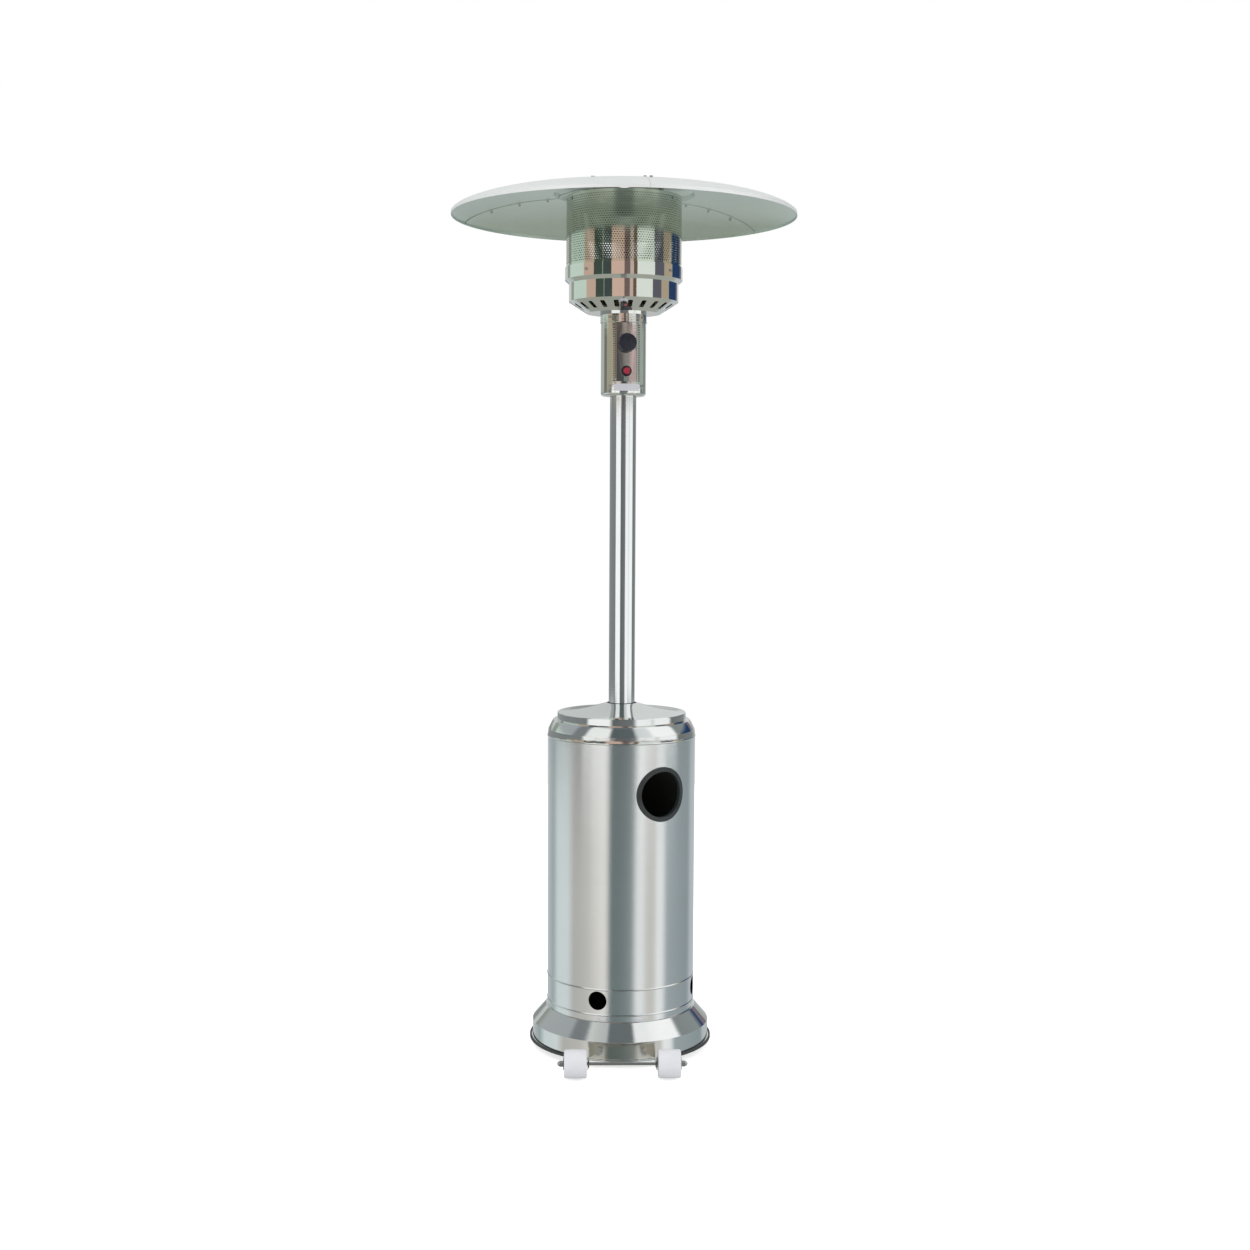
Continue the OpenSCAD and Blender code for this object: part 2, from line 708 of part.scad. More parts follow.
// Flange that follows the housing's curve, with a sleeve through the wall
module hand_hole_trim(turn) {
  sleeve_r = hand_d / 2 + hand_sleeve_t;
  color("black") at_azimuth(hand_az + turn) translate([0, 0, z_house + hand_h]) difference() {
    union() {
      intersection() {
        radial_cylinder(hand_out_r, house_r / 2, house_r + 4 * hand_flange_t);
        translate([0, 0, -hand_out_r]) difference() {
          cylinder(r = house_r + hand_flange_t, h = 2 * hand_out_r);
          translate([0, 0, -over]) cylinder(r = house_r + gap / 3, h = 2 * hand_out_r + 2 * over);
        }
      }
      intersection() {
        radial_cylinder(sleeve_r, house_r / 2, house_r + 4 * hand_flange_t);
        translate([0, 0, -hand_out_r]) difference() {
          cylinder(r = house_r + hand_flange_t / 2, h = 2 * hand_out_r);
          translate([0, 0, -over]) cylinder(r = house_r - hand_sleeve_l, h = 2 * hand_out_r + 2 * over);
        }
      }
    }
    radial_cylinder(hand_d / 2, house_r / 3, 2 * house_r);
  }
}

// A rod between two points, with a round end at each
module rod(p, q, r) {
  d = q - p;
  l = norm(d);
  translate(p) rotate([0, acos(d[2] / l), atan2(d[1], d[0])]) cylinder(r = r, h = l);
}

// A bent rod: straight runs joined by round elbows that are a little thicker
elbow_share = 1.12;
module bent_rod(points, r) {
  for (i = [0:len(points) - 2]) rod(points[i], points[i + 1], r);
  for (i = [1:len(points) - 2]) translate(points[i]) sphere(r = elbow_share * r);
}

z_strap_top = z_collar_top - frame_t;
strap_r = frame_r - 4 * frame_t;
rim_low_h = 12 * frame_t;
rim_high_h = 8.8 * frame_t;
lead_x = 7;
lead_y = 26;
lead_r = 1.5;
tube_holes = [[pilot_x, pilot_y], [pilot_x, -pilot_y / 2], [lead_x, lead_y]];

module bowl_bolt_places() {
  at_azimuth(ctrl_az) for (i = [0:3]) at_azimuth((i + 0.5) * full_turn / 4) translate([0, -head_bolt_pcr, 0]) children();
}

module tube_places() {
  at_azimuth(ctrl_az) for (p = tube_holes) translate(p) children();
}

// Two rimmed discs joined by two straps
module head_frame() {
  color("gray") difference() {
    union() {
      translate([0, 0, z_head_plate]) cylinder(r = frame_r, h = frame_t);
      translate([0, 0, z_strap_top]) cylinder(r = frame_r, h = frame_t);
      ring(frame_r, frame_r - frame_t, z_head_plate, rim_low_h);
      ring(frame_r, frame_r - frame_t, z_collar_top - rim_high_h, rim_high_h);
      at_azimuth(ctrl_az) for (side = [0, 1]) mirror([side, 0, 0])
        translate([strap_r, -frame_strap_w / 2, z_head_plate]) cube([frame_t, frame_strap_w, z_strap_top - z_head_plate + over]);
    }
    translate([0, 0, z_head_plate - over]) cylinder(r = 2 * pipe_r, h = frame_t + 2 * over);
    translate([0, 0, z_strap_top - over]) cylinder(r = tube_r - tube_t, h = frame_t + 2 * over);
    tube_places() translate([0, 0, z_strap_top - over]) cylinder(r = pilot_r + slide_gap, h = frame_t + 2 * over);
    head_bolt_places() translate([0, 0, z_head_plate - over]) cylinder(r = head_bolt_r + run_gap, h = frame_t + 2 * over);
    bowl_bolt_places() translate([0, 0, z_strap_top - over]) cylinder(r = head_bolt_r + run_gap, h = frame_t + 2 * over);
    housing_screw_places() radial_cylinder(screw_r + run_gap, strap_r, ctrl_r);
  }
}

module frame_bolts() {
  head_r = 1.7 * head_bolt_r;
  color("silver") {
    head_bolt_places() hex_bolt(head_bolt_r, head_r, head_bolt_r, frame_t + pole_flange_t, z_head_plate + frame_t);
    bowl_bolt_places() hex_bolt(head_bolt_r, head_r, head_bolt_r, 2 * frame_t + bowl_t + lug_t, z_bowl + bowl_t + lug_t);
  }
}

// One half of the control housing: rounded bottom edge, tall wall up into the collar
module control_half() {
  in_r = ctrl_r - ctrl_t;
  arc = [for (i = [0:6]) let (a = 15 * i) [ctrl_r - ctrl_edge_r + ctrl_edge_r * sin(a), z_ctrl + ctrl_edge_r * (1 - cos(a))]];
  z_top = z_ctrl_top + 0.8 * collar_h;
  rotate_extrude(angle = 180) polygon(concat(
    [[pole_r + slide_gap, z_ctrl]], arc,
    [[ctrl_r, z_top], [in_r, z_top], [in_r, z_ctrl + ctrl_edge_r], [in_r - ctrl_edge_r / 2, z_ctrl + ctrl_t],
      [pole_r + slide_gap, z_ctrl + ctrl_t]]
  ));
}

// Screws through the shells into the frame's rims: four low and four in the collar
module housing_screw_places() {
  for (turn = [-screw_turn, screw_turn, full_turn / 2 - screw_turn, full_turn / 2 + screw_turn])
    at_azimuth(ctrl_az + turn) for (z = [z_ctrl + 0.8 * rim_low_h + ctrl_t, z_ctrl_top + collar_h / 2])
      translate([0, 0, z]) children();
}

window_low = z_ctrl + panel_low;
window_h = ctrl_h - panel_low - panel_high;

module control_housing_front() {
  color("silver") difference() {
    at_azimuth(ctrl_az) rotate([0, 0, 180]) control_half();
    at_azimuth(ctrl_az) translate([-panel_w / 2, -ctrl_r - over, window_low]) cube([panel_w, ctrl_r / 2, window_h]);
    for (side = [-1, 1]) at_azimuth(ctrl_az + side * louvre_turn) for (i = [0:louvre_n - 1])
      translate([-1.5 * louvre_h, -ctrl_r - over, window_low + louvre_pitch * i + louvre_h / 2])
        cube([3 * louvre_h, ctrl_r / 4, louvre_h]);
    housing_screw_places() radial_cylinder(screw_r + run_gap, strap_r, collar_r);
  }
}

module control_housing_rear() {
  color("silver") difference() {
    at_azimuth(ctrl_az) control_half();
    housing_screw_places() radial_cylinder(screw_r + run_gap, strap_r, collar_r);
  }
}

module head_collar() {
  color("silver") difference() {
    ring(collar_r, collar_r - collar_t, z_ctrl_top, collar_h);
    housing_screw_places() radial_cylinder(screw_r + run_gap, ctrl_r, collar_r + over);
  }
}

// A pan-headed screw along the front direction, its head seated at a distance from the axis
module radial_screw(seat, l) {
  radial_cylinder(screw_r, seat - l, seat);
  radial_cylinder(screw_head_r, seat, seat + screw_head_h);
}

module bowl_screw_places() {
  for (i = [0:3]) at_azimuth(-40 + i * full_turn / 4) translate([0, 0, z_bowl_wall + bowl_rim_h / 2]) children();
}

module emitter_screw_places() {
  for (i = [0:5]) at_azimuth(55 + i * full_turn / 6) translate([0, 0, z_emitter_top - plate_drop - 2 * screw_head_r]) children();
}

module head_screws() {
  z_split = z_ctrl_top - over;
  color("silver") {
    intersection() {
      housing_screw_places() radial_screw(ctrl_r, 3 * frame_t);
      translate([0, 0, z_ctrl]) cylinder(r = 2 * ctrl_r, h = z_split - z_ctrl);
    }
    intersection() {
      housing_screw_places() radial_screw(collar_r, 3 * frame_t);
      translate([0, 0, z_split]) cylinder(r = 2 * ctrl_r, h = collar_h + over);
    }
    bowl_screw_places() radial_screw(rim_out_r, 3 * frame_t);
    emitter_screw_places() radial_screw(emitter_r, 2 * frame_t);
  }
}

// Recessed tray behind the window
module control_panel() {
  out_y = panel_face + panel_flange - 2 * gap;
  w = panel_w - 2 * gap;
  h = window_h - 2 * gap;
  z = window_low + gap;
  color("silver") at_azimuth(ctrl_az) difference() {
    translate([-w / 2, -out_y, z]) cube([w, out_y - panel_face + ctrl_t, h]);
    translate([-w / 2 + ctrl_t, -out_y - over, z + ctrl_t]) cube([w - 2 * ctrl_t, out_y - panel_face + over, h - 2 * ctrl_t]);
    translate([0, 0, z_knob]) radial_cylinder(stem_hole_r, panel_face / 2, ctrl_r);
    translate([0, 0, z_button]) radial_cylinder(body_r + run_gap, panel_face / 2, ctrl_r);
  }
}

// The two outer tangents of a pair of circles on one vertical line
module tangent_web(y1, r1, y2, r2) {
  d = y2 - y1;
  s = (r1 - r2) / d;
  c = sqrt(1 - s * s);
  polygon([[-r1 * c, y1 + r1 * s], [r1 * c, y1 + r1 * s], [r2 * c, y2 + r2 * s], [-r2 * c, y2 + r2 * s]]);
}

// Teardrop plate: narrow top, wide at the knob, round below the button
module escutcheon() {
  top_r = 0.45 * knob_r;
  mid_r = 0.94 * knob_r;
  low_r = 1.16 * bezel_r;
  z_top = window_low + window_h - top_r - 3 * ctrl_t;
  color("gainsboro") at_azimuth(ctrl_az) translate([0, -panel_face, 0]) rotate([90, 0, 0]) linear_extrude(esc_t) difference() {
    union() {
      translate([0, z_top]) circle(r = top_r);
      translate([0, z_knob]) circle(r = mid_r);
      translate([0, z_button]) circle(r = low_r);
      tangent_web(z_knob, mid_r, z_top, top_r);
      tangent_web(z_button, low_r, z_knob, mid_r);
    }
    translate([0, z_knob]) circle(r = stem_hole_r);
    translate([0, z_button]) circle(r = body_r + run_gap);
  }
}

// Plain plate below the controls
module blank_plate() {
  plate_t = 0.4;
  half_turn = 33;
  low_share = 0.063;
  high_share = 0.16;
  color("whitesmoke") at_azimuth(ctrl_az) rotate([0, 0, -90 - half_turn]) rotate_extrude(angle = 2 * half_turn) polygon([
    [ctrl_r + run_gap, z_ctrl + low_share * ctrl_h], [ctrl_r + plate_t, z_ctrl + low_share * ctrl_h],
    [ctrl_r + plate_t, z_ctrl + high_share * ctrl_h], [ctrl_r + run_gap, z_ctrl + high_share * ctrl_h]
  ]);
}

module valve_body() {
  lobe_w = pilot_x - valve_w / 2 + 3 * pilot_r;
  lobe_h = 0.35 * valve_h;
  color("darkgray") at_azimuth(ctrl_az) difference() {
    union() {
      translate([-valve_w / 2, -valve_front, z_valve]) cube([valve_w, valve_deep, valve_h]);
      translate([valve_w / 2 - over, -pilot_y, z_valve + valve_h - lobe_h])
        cube([lobe_w + over, 2.6 * pilot_y, lobe_h]);
    }
    translate([0, 0, z_knob]) radial_cylinder(stem_r + run_gap, valve_front - stem_deep, valve_front + over);
  }
}

module valve_stem() {
  color("silver") at_azimuth(ctrl_az) translate([0, 0, z_knob])
    radial_cylinder(stem_r, valve_front - stem_deep + knob_push + gap, knob_back + 0.6 * knob_h);
}

module knob() {
  z_mark = 0.36 * knob_r;
  color([0.08, 0.08, 0.09]) at_azimuth(ctrl_az) translate([0, 0, z_knob]) difference() {
    union() {
      radial_cylinder(knob_r, knob_back, knob_back + 0.45 * knob_h);
      rotate([90, 0, 0]) translate([0, 0, knob_back + 0.45 * knob_h]) cylinder(r1 = knob_r, r2 = 0.9 * knob_r, h = 0.55 * knob_h);
    }
    for (i = [0:flute_n - 1]) rotate([0, i * full_turn / flute_n, 0]) translate([knob_r + flute_r / 3, 0, 0])
      radial_cylinder(flute_r, knob_back - over, knob_back + knob_h + over);
    radial_cylinder(stem_r + run_gap / 2, knob_back - over, knob_back + 0.6 * knob_h + gap);
    translate([-flute_r / 2, -knob_back - knob_h - over, z_mark])
      cube([flute_r, over + 0.4 * flute_r, knob_r]);
  }
}

y_seat = panel_face + esc_t;

// Piezo striker behind the panel
module igniter_body() {
  color([0.12, 0.12, 0.12]) at_azimuth(ctrl_az) translate([0, 0, z_button]) difference() {
    radial_cylinder(body_r, y_seat - body_l, y_seat);
    radial_cylinder(button_r + slide_gap, y_seat - body_l * 0.45, y_seat + over);
  }
}

module igniter_bezel() {
  color([0.08, 0.08, 0.08]) at_azimuth(ctrl_az) translate([0, 0, z_button]) difference() {
    union() {
      radial_cylinder(bezel_r, y_seat, y_seat + 0.6 * bezel_h);
      rotate([90, 0, 0]) translate([0, 0, y_seat + 0.6 * bezel_h]) cylinder(r1 = bezel_r, r2 = 0.86 * bezel_r, h = 0.4 * bezel_h);
    }
    radial_cylinder(button_r + slide_gap, y_seat - over, y_seat + bezel_h + over);
  }
}

module igniter_button() {
  y_front = y_seat + bezel_h + button_push;
  color("crimson") at_azimuth(ctrl_az) translate([0, 0, z_button]) {
    radial_cylinder(button_r, y_seat - bezel_h, y_front - 0.2 * button_r);
    rotate([90, 0, 0]) translate([0, 0, y_front - 0.2 * button_r]) cylinder(r1 = button_r, r2 = 0.85 * button_r, h = 0.2 * button_r);
  }
}

module tilt_switch() {
  w = 14;
  d = 20;
  h = 26;
  color([0.15, 0.15, 0.15]) at_azimuth(ctrl_az) translate([-strap_r, -d / 2, z_head_plate + rim_low_h + h / 4]) cube([w, d, h]);
}

run_up = 14;
z_run = z_bowl + run_up;
probe_x = 86;
burner_up = 44;
z_burner = z_bowl + burner_up;
z_burner_top = z_burner + burner_h;

// Sensor from the valve's lobe, under the burner and up beside it
module thermocouple() {
  p = tube_holes[1];
  color("peru") at_azimuth(ctrl_az) bent_rod([
    [p[0], p[1], z_valve + valve_h], [p[0], p[1], z_run], [probe_x, p[1], z_run],
    [probe_x, p[1], z_burner_top + 8 * pilot_r]
  ], 0.75 * pilot_r);
}

module pilot_burner() {
  p = tube_holes[0];
  color("goldenrod") at_azimuth(ctrl_az) {
    bent_rod([
      [p[0], p[1], z_valve + valve_h], [p[0], p[1], z_run], [probe_x, p[1], z_run], [probe_x, p[1], z_burner_top]
    ], pilot_r);
    translate([probe_x, p[1], z_burner_top - 6 * pilot_r]) cylinder(r = 2 * pilot_r, h = 9 * pilot_r);
  }
}

// Lead from the striker, and the ceramic electrode beside the pilot
module ignition_electrode() {
  p = tube_holes[2];
  y_back = -(y_seat - body_l);
  color("white") at_azimuth(ctrl_az) {
    bent_rod([
      [p[0], y_back, z_button], [p[0], p[1], z_button], [p[0], p[1], z_run + 4 * pilot_r],
      [probe_x, 3.2 * pilot_y, z_run + 4 * pilot_r], [probe_x, 3.2 * pilot_y, z_burner_top + 6 * pilot_r]
    ], lead_r);
    translate([probe_x, 3.2 * pilot_y, z_burner]) cylinder(r = 1.5 * pilot_r, h = burner_h);
  }
}

jet_r = 4;
lug_t = 2;
lug_w = 16;

// Outlet pipe with the gas jet at its top
module injector() {
  z0 = z_valve + valve_h;
  color("goldenrod") difference() {
    union() {
      translate([0, 0, z0]) cylinder(r = pipe_r, h = z_bowl - z0);
      translate([0, 0, z0]) cylinder(r = 1.7 * pipe_r, h = 1.6 * pipe_r, $fn = 6);
      translate([0, 0, z_bowl - over]) cylinder(r1 = jet_r, r2 = jet_r / 2, h = 2 * jet_r);
    }
    translate([0, 0, z0 - over]) cylinder(r = pipe_bore_r * 0.6, h = z_bowl - z0);
  }
}

// Mixing tube with four air windows, on a two-lugged foot
module burner_tube() {
  z0 = z_bowl + bowl_t;
  color("silver") difference() {
    union() {
      translate([0, 0, z0]) cylinder(r = tube_r, h = z_burner - z0);
      translate([0, 0, z0]) cylinder(r = tube_r + 3 * tube_t, h = lug_t);
      at_azimuth(ctrl_az + full_turn / 8) translate([-lug_w / 2, -head_bolt_pcr - 3 * head_bolt_r, z0])
        cube([lug_w, 2 * head_bolt_pcr + 6 * head_bolt_r, lug_t]);
    }
    translate([0, 0, z0 + lug_t]) cylinder(r = tube_r - tube_t, h = z_burner);
    translate([0, 0, z0 - over]) cylinder(r = jet_r + gap, h = lug_t + 2 * over);
    bowl_bolt_places() translate([0, 0, z0 - over]) cylinder(r = head_bolt_r + run_gap, h = lug_t + 2 * over);
    for (i = [0:3]) at_azimuth(i * full_turn / 4) translate([0, 0, z0 + tube_r]) radial_cylinder(0.4 * tube_r, 0, 2 * tube_r);
  }
}

// Hollow round burner with rings of flame ports
module burner_head() {
  ring_n = 3;
  port_n = 24;
  color("gray") difference() {
    translate([0, 0, z_burner]) cylinder(r = burner_r, h = burner_h);
    translate([0, 0, z_burner + burner_t]) cylinder(r = burner_r - burner_t, h = burner_h - 2 * burner_t);
    translate([0, 0, z_burner - over]) cylinder(r = tube_r - tube_t, h = burner_t + 2 * over);
    for (k = [1:ring_n]) for (i = [0:port_n - 1]) rotate([0, 0, (i + k / 2) * full_turn / port_n])
      translate([burner_r * (0.4 + 0.17 * k), 0, z_burner + burner_h / 2]) cylinder(r = burner_t * 1.6, h = burner_h);
  }
}

// Spun bowl: flat bottom, slotted cone, band, step and open rim
module bowl() {
  color("silver") difference() {
    rotate_extrude() polygon([
      [0, z_bowl], [bowl_flat_r, z_bowl], [bowl_r, z_bowl_band], [bowl_r, z_bowl_step], [rim_out_r, z_bowl_wall],
      [rim_out_r, z_bowl_rim], [rim_in_r, z_bowl_rim], [rim_in_r, z_bowl_wall + bowl_t / 2],
      [bowl_r - bowl_t, z_bowl_step + bowl_t / 2], [bowl_r - bowl_t, z_bowl_band + bowl_t / 2],
      [bowl_flat_r - bowl_t / 2, z_bowl + bowl_t], [0, z_bowl + bowl_t]
    ]);
    for (i = [0:slot_count - 1]) at_azimuth((i + 0.4) * full_turn / slot_count) bowl_slot();
    translate([0, 0, z_bowl - over]) cylinder(r = tube_r - tube_t, h = bowl_t + 2 * over);
    tube_places() translate([0, 0, z_bowl - over]) cylinder(r = pilot_r + slide_gap, h = bowl_t + 2 * over);
    bowl_bolt_places() translate([0, 0, z_bowl - over]) cylinder(r = head_bolt_r + run_gap, h = bowl_t + 2 * over);
    bowl_screw_places() radial_cylinder(screw_r + run_gap, emitter_r, rim_out_r + over);
  }
}

// A round-ended slot square to the cone, along its slope
module bowl_slot() {
  run = bowl_r - bowl_flat_r;
  slope = atan2(bowl_cone_h, run);
  slot_l = 0.5 * norm([run, bowl_cone_h]);
  translate([0, -(bowl_flat_r + bowl_r) / 2, (z_bowl + z_bowl_band) / 2]) rotate([-slope, 0, 0])
    translate([0, 0, -4 * bowl_t]) linear_extrude(8 * bowl_t) {
      square([slot_w, slot_l - slot_w / 2], center = true);
      square([slot_w / 2, slot_l], center = true);
      for (x = [-1, 1]) for (y = [-1, 1]) translate([x * slot_w / 4, y * (slot_l / 2 - slot_w / 4)]) circle(r = slot_w / 4);
    }
}

// Thin tube, perforated on the real heater
module emitter_screen() {
  color("lightgray") difference() {
    ring(emitter_r, emitter_r - emitter_t, z_emitter, emitter_h);
    bowl_screw_places() radial_cylinder(screw_r + run_gap, emitter_r / 2, emitter_r + over);
    emitter_screw_places() radial_cylinder(screw_r + run_gap, emitter_r / 2, emitter_r + over);
  }
}

z_plate = z_emitter_top - plate_drop;

// Lid inside the screen's top, with its rim turned down, vents and three studs' holes
module emitter_top_plate() {
  plate_r = emitter_r - emitter_t - run_gap;
  plate_t = 1.5 * emitter_t;
  vent_n = 12;
  color("gray") difference() {
    union() {
      translate([0, 0, z_plate - plate_t]) cylinder(r = plate_r, h = plate_t);
      ring(plate_r, plate_r - plate_t, z_plate - 14 * plate_t, 14 * plate_t);
    }
    for (i = [0:vent_n - 1]) rotate([0, 0, i * full_turn / vent_n]) translate([0.42 * plate_r, 0, z_plate - 2 * plate_t])
      cylinder(r = 0.07 * plate_r, h = 4 * plate_t);
    stud_places() translate([0, 0, z_plate - 2 * plate_t]) cylinder(r = stud_r + run_gap, h = 4 * plate_t);
    emitter_screw_places() radial_cylinder(screw_r + run_gap, plate_r - 2 * plate_t, emitter_r + over);
  }
}

// Height of the panels' upper face between the boss and the rim
dome_power_share = 0.72;
function dome_z(r, rim) = z_rim + dome_rise * pow(max(0, 1 - pow((r - boss_r) / (rim - boss_r), 2)), dome_power_share);

boss_flat_share = 0.68;
boss_slope = 4.5 * panel_t;

// Upper outline of a panel from hub to rim; inset gives the lower face
function panel_outline(inset, n = 14) = concat(
  [[hub_hole_r + inset, z_boss - inset], [boss_flat_share * boss_r - inset / 2, z_boss - inset],
    [boss_r - boss_slope - inset, z_dome + 0.4 * boss_rise - inset]],
  [for (i = [0:n]) let (rim = reflector_r - inset, r = boss_r + (rim - boss_r) * sqrt(i / n)) [r, dome_z(r, rim) - inset]],
  [[reflector_r - inset, z_rim - lip_drop + inset]]
);

// A sector of sheet between two insets from the upper face
module panel_sector(turn, top_inset, low_inset) {
  low = panel_outline(low_inset);
  rotate_extrude(angle = turn) polygon(concat(
    panel_outline(top_inset),
    [for (i = [len(low) - 1:-1:0]) low[i]]
  ));
}

// One third of the reflector, with a lowered tongue under its neighbour
module reflector_panel(index) {
  span = full_turn / 3;
  seam_play = 0.08;
  jog = 0.6;
  skin = 0.3 * panel_t;
  low_drop = panel_t + lap_gap;
  start = seam_az + index * span - 90;
  color("gainsboro") difference() {
    union() {
      rotate([0, 0, start + seam_play]) panel_sector(span - seam_play, 0, panel_t);
      rotate([0, 0, start + span - jog]) panel_sector(jog / 2, skin, low_drop + panel_t - skin);
      rotate([0, 0, start + span - 1.5 * jog]) panel_sector(1.5 * jog + lap_turn, low_drop, low_drop + panel_t);
    }
    seam_screw_places() cylinder(r = screw_r + run_gap, h = 8 * low_drop, center = true);
    stud_places() translate([0, 0, z_boss - 4 * panel_t]) cylinder(r = stud_r + run_gap, h = 8 * panel_t);
  }
}

module seam_screw_places() {
  for (i = [0:2]) at_azimuth(seam_az + lap_turn / 2 + i * full_turn / 3) for (share = seam_spots_share)
    translate([0, -share * reflector_r, dome_z(share * reflector_r, reflector_r)]) children();
}

module seam_screws() {
  color("silver") seam_screw_places() {
    translate([0, 0, gap + panel_t]) cylinder(r = screw_head_r, h = screw_head_h);
    translate([0, 0, -8 * panel_t]) cylinder(r = screw_r, h = 9 * panel_t + gap);
    translate([0, 0, -8 * panel_t]) cylinder(r = 1.7 * screw_r, h = 1.6 * screw_r, $fn = 6);
  }
}

module stud_places() {
  for (i = [0:stud_n - 1]) at_azimuth(seam_az + (i + 0.5) * full_turn / stud_n) translate([0, -stud_ring_r, 0]) children();
}

// Hexagon standoffs with a thread at each end
module reflector_studs() {
  color("silver") stud_places() {
    translate([0, 0, z_plate]) cylinder(r = spacer_r, h = z_boss - panel_t - z_plate, $fn = 6);
    translate([0, 0, z_plate - 2 * stud_r]) cylinder(r = stud_r, h = z_boss - z_plate + 7 * stud_r);
  }
}

module wing_nuts() {
  base_h = 1.4 * stud_r;
  wing_l = 3.6 * stud_r;
  wing_h = 3.2 * stud_r;
  wing_t = 0.7 * stud_r;
  color("silver") stud_places() translate([0, 0, z_boss]) difference() {
    union() {
      cylinder(r = 3 * stud_r, h = stud_r / 2);
      cylinder(r1 = 2.2 * stud_r, r2 = 1.7 * stud_r, h = 2 * base_h);
      rotate([90, 0, 0]) translate([0, 0, -wing_t / 2]) linear_extrude(wing_t) for (side = [-1, 1])
        polygon([[0, base_h / 2], [side * wing_l, base_h], [side * wing_l, base_h + wing_h],
          [side * wing_l * 0.6, base_h + wing_h], [0, 2 * base_h - over / 2]]);
    }
    translate([0, 0, -over]) cylinder(r = stud_r + run_gap / 2, h = 8 * stud_r);
  }
}

base_plate();
base_skirt();
base_edge_trim();
rubber_feet();
foot_screws();
wheel_bracket();
bracket_bolts();
axle();
axle_nuts();
axle_washers();
wheel(-1);  // wheel_left
wheel(1);  // wheel_right
support_leg(0);  // support_leg_left
support_leg(1);  // support_leg_right
support_leg(2);  // support_leg_rear
leg_bolts();
leg_nuts();
post_plate();
pole();
pole_bolts();
pole_nuts();
gas_inlet_fitting();
gas_pipe();
tank_housing();
shoulder_ring();
top_cover();
pole_seal();
hand_hole_trim(0);  // hand_hole_trim_front
hand_hole_trim(full_turn / 2);  // hand_hole_trim_rear
head_frame();
frame_bolts();
control_housing_front();
control_housing_rear();
head_collar();
head_screws();
control_panel();
escutcheon();
blank_plate();
valve_body();
valve_stem();
knob();
igniter_body();
igniter_bezel();
igniter_button();
tilt_switch();
thermocouple();
pilot_burner();
ignition_electrode();
injector();
burner_tube();
burner_head();
bowl();
emitter_screen();
emitter_top_plate();
reflector_panel(0);  // reflector_panel_1
reflector_panel(1);  // reflector_panel_2
reflector_panel(2);  // reflector_panel_3
seam_screws();
reflector_studs();
wing_nuts();
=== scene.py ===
# %% [markdown]
# # A gas patio heater in steel
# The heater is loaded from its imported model, which already has every piece at its real size.
# This script gives the pieces their finish. Round sheet pieces get shading that follows their true
# curve, the wheels and the perforated screen are modelled here, and a studio lights the result.

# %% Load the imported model
import json
import math

import bmesh
import bpy
import numpy as np
from mathutils import Matrix, Vector


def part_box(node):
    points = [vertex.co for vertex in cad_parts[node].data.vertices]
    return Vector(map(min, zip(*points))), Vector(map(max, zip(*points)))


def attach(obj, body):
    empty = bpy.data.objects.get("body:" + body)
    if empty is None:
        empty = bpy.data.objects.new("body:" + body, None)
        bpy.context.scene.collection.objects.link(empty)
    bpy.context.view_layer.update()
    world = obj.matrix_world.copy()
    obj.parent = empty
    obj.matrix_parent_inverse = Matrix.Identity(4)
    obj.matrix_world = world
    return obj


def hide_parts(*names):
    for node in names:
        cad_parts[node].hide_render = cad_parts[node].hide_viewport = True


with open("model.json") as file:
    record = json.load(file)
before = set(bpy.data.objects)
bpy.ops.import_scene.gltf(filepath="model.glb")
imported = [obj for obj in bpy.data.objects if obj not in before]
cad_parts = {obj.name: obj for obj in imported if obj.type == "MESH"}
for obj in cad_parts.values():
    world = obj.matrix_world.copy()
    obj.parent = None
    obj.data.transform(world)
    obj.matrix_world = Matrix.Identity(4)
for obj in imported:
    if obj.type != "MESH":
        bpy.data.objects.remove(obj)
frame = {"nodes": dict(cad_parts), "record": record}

scene = bpy.context.scene
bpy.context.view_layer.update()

# %% [markdown]
# The camera stands where the photographer stood. The lens and the tilt come from fitting one camera
# to the ellipses of the reflector, the top cover and the base. A long lens keeps the pole straight.

# %% Camera
SENSOR_MM = 36.0
LENS_MM = 49.95
CAMERA_PLACE = (0.0075, -4.398, 1.406)
CAMERA_DOWN_DEG = 4.26
CAMERA_ROLL_DEG = 0.3
CAMERA_SIDE_DEG = -1.3
CAMERA_REACH = 100

camera_data = bpy.data.cameras.new("camera")
camera_data.lens = LENS_MM
camera_data.sensor_width = SENSOR_MM
camera_data.clip_end = CAMERA_REACH
camera = bpy.data.objects.new("camera", camera_data)
scene.collection.objects.link(camera)
tilt = Matrix.Rotation(math.radians(90 - CAMERA_DOWN_DEG), 4, "X")
roll = Matrix.Rotation(math.radians(CAMERA_ROLL_DEG), 4, "Z")
round_pole = Matrix.Rotation(math.radians(CAMERA_SIDE_DEG), 4, "Z")
camera.matrix_world = round_pole @ Matrix.Translation(CAMERA_PLACE) @ (tilt @ roll)
scene.camera = camera
scene.view_settings.view_transform = "Standard"
print("camera", CAMERA_PLACE)

# %% [markdown]
# A shader tree is easier to read when each node is made by one short call. The helper below adds a
# node, sets its options and fills its inputs, either with values or with links. A second short
# helper starts an empty material and hands back its tree.


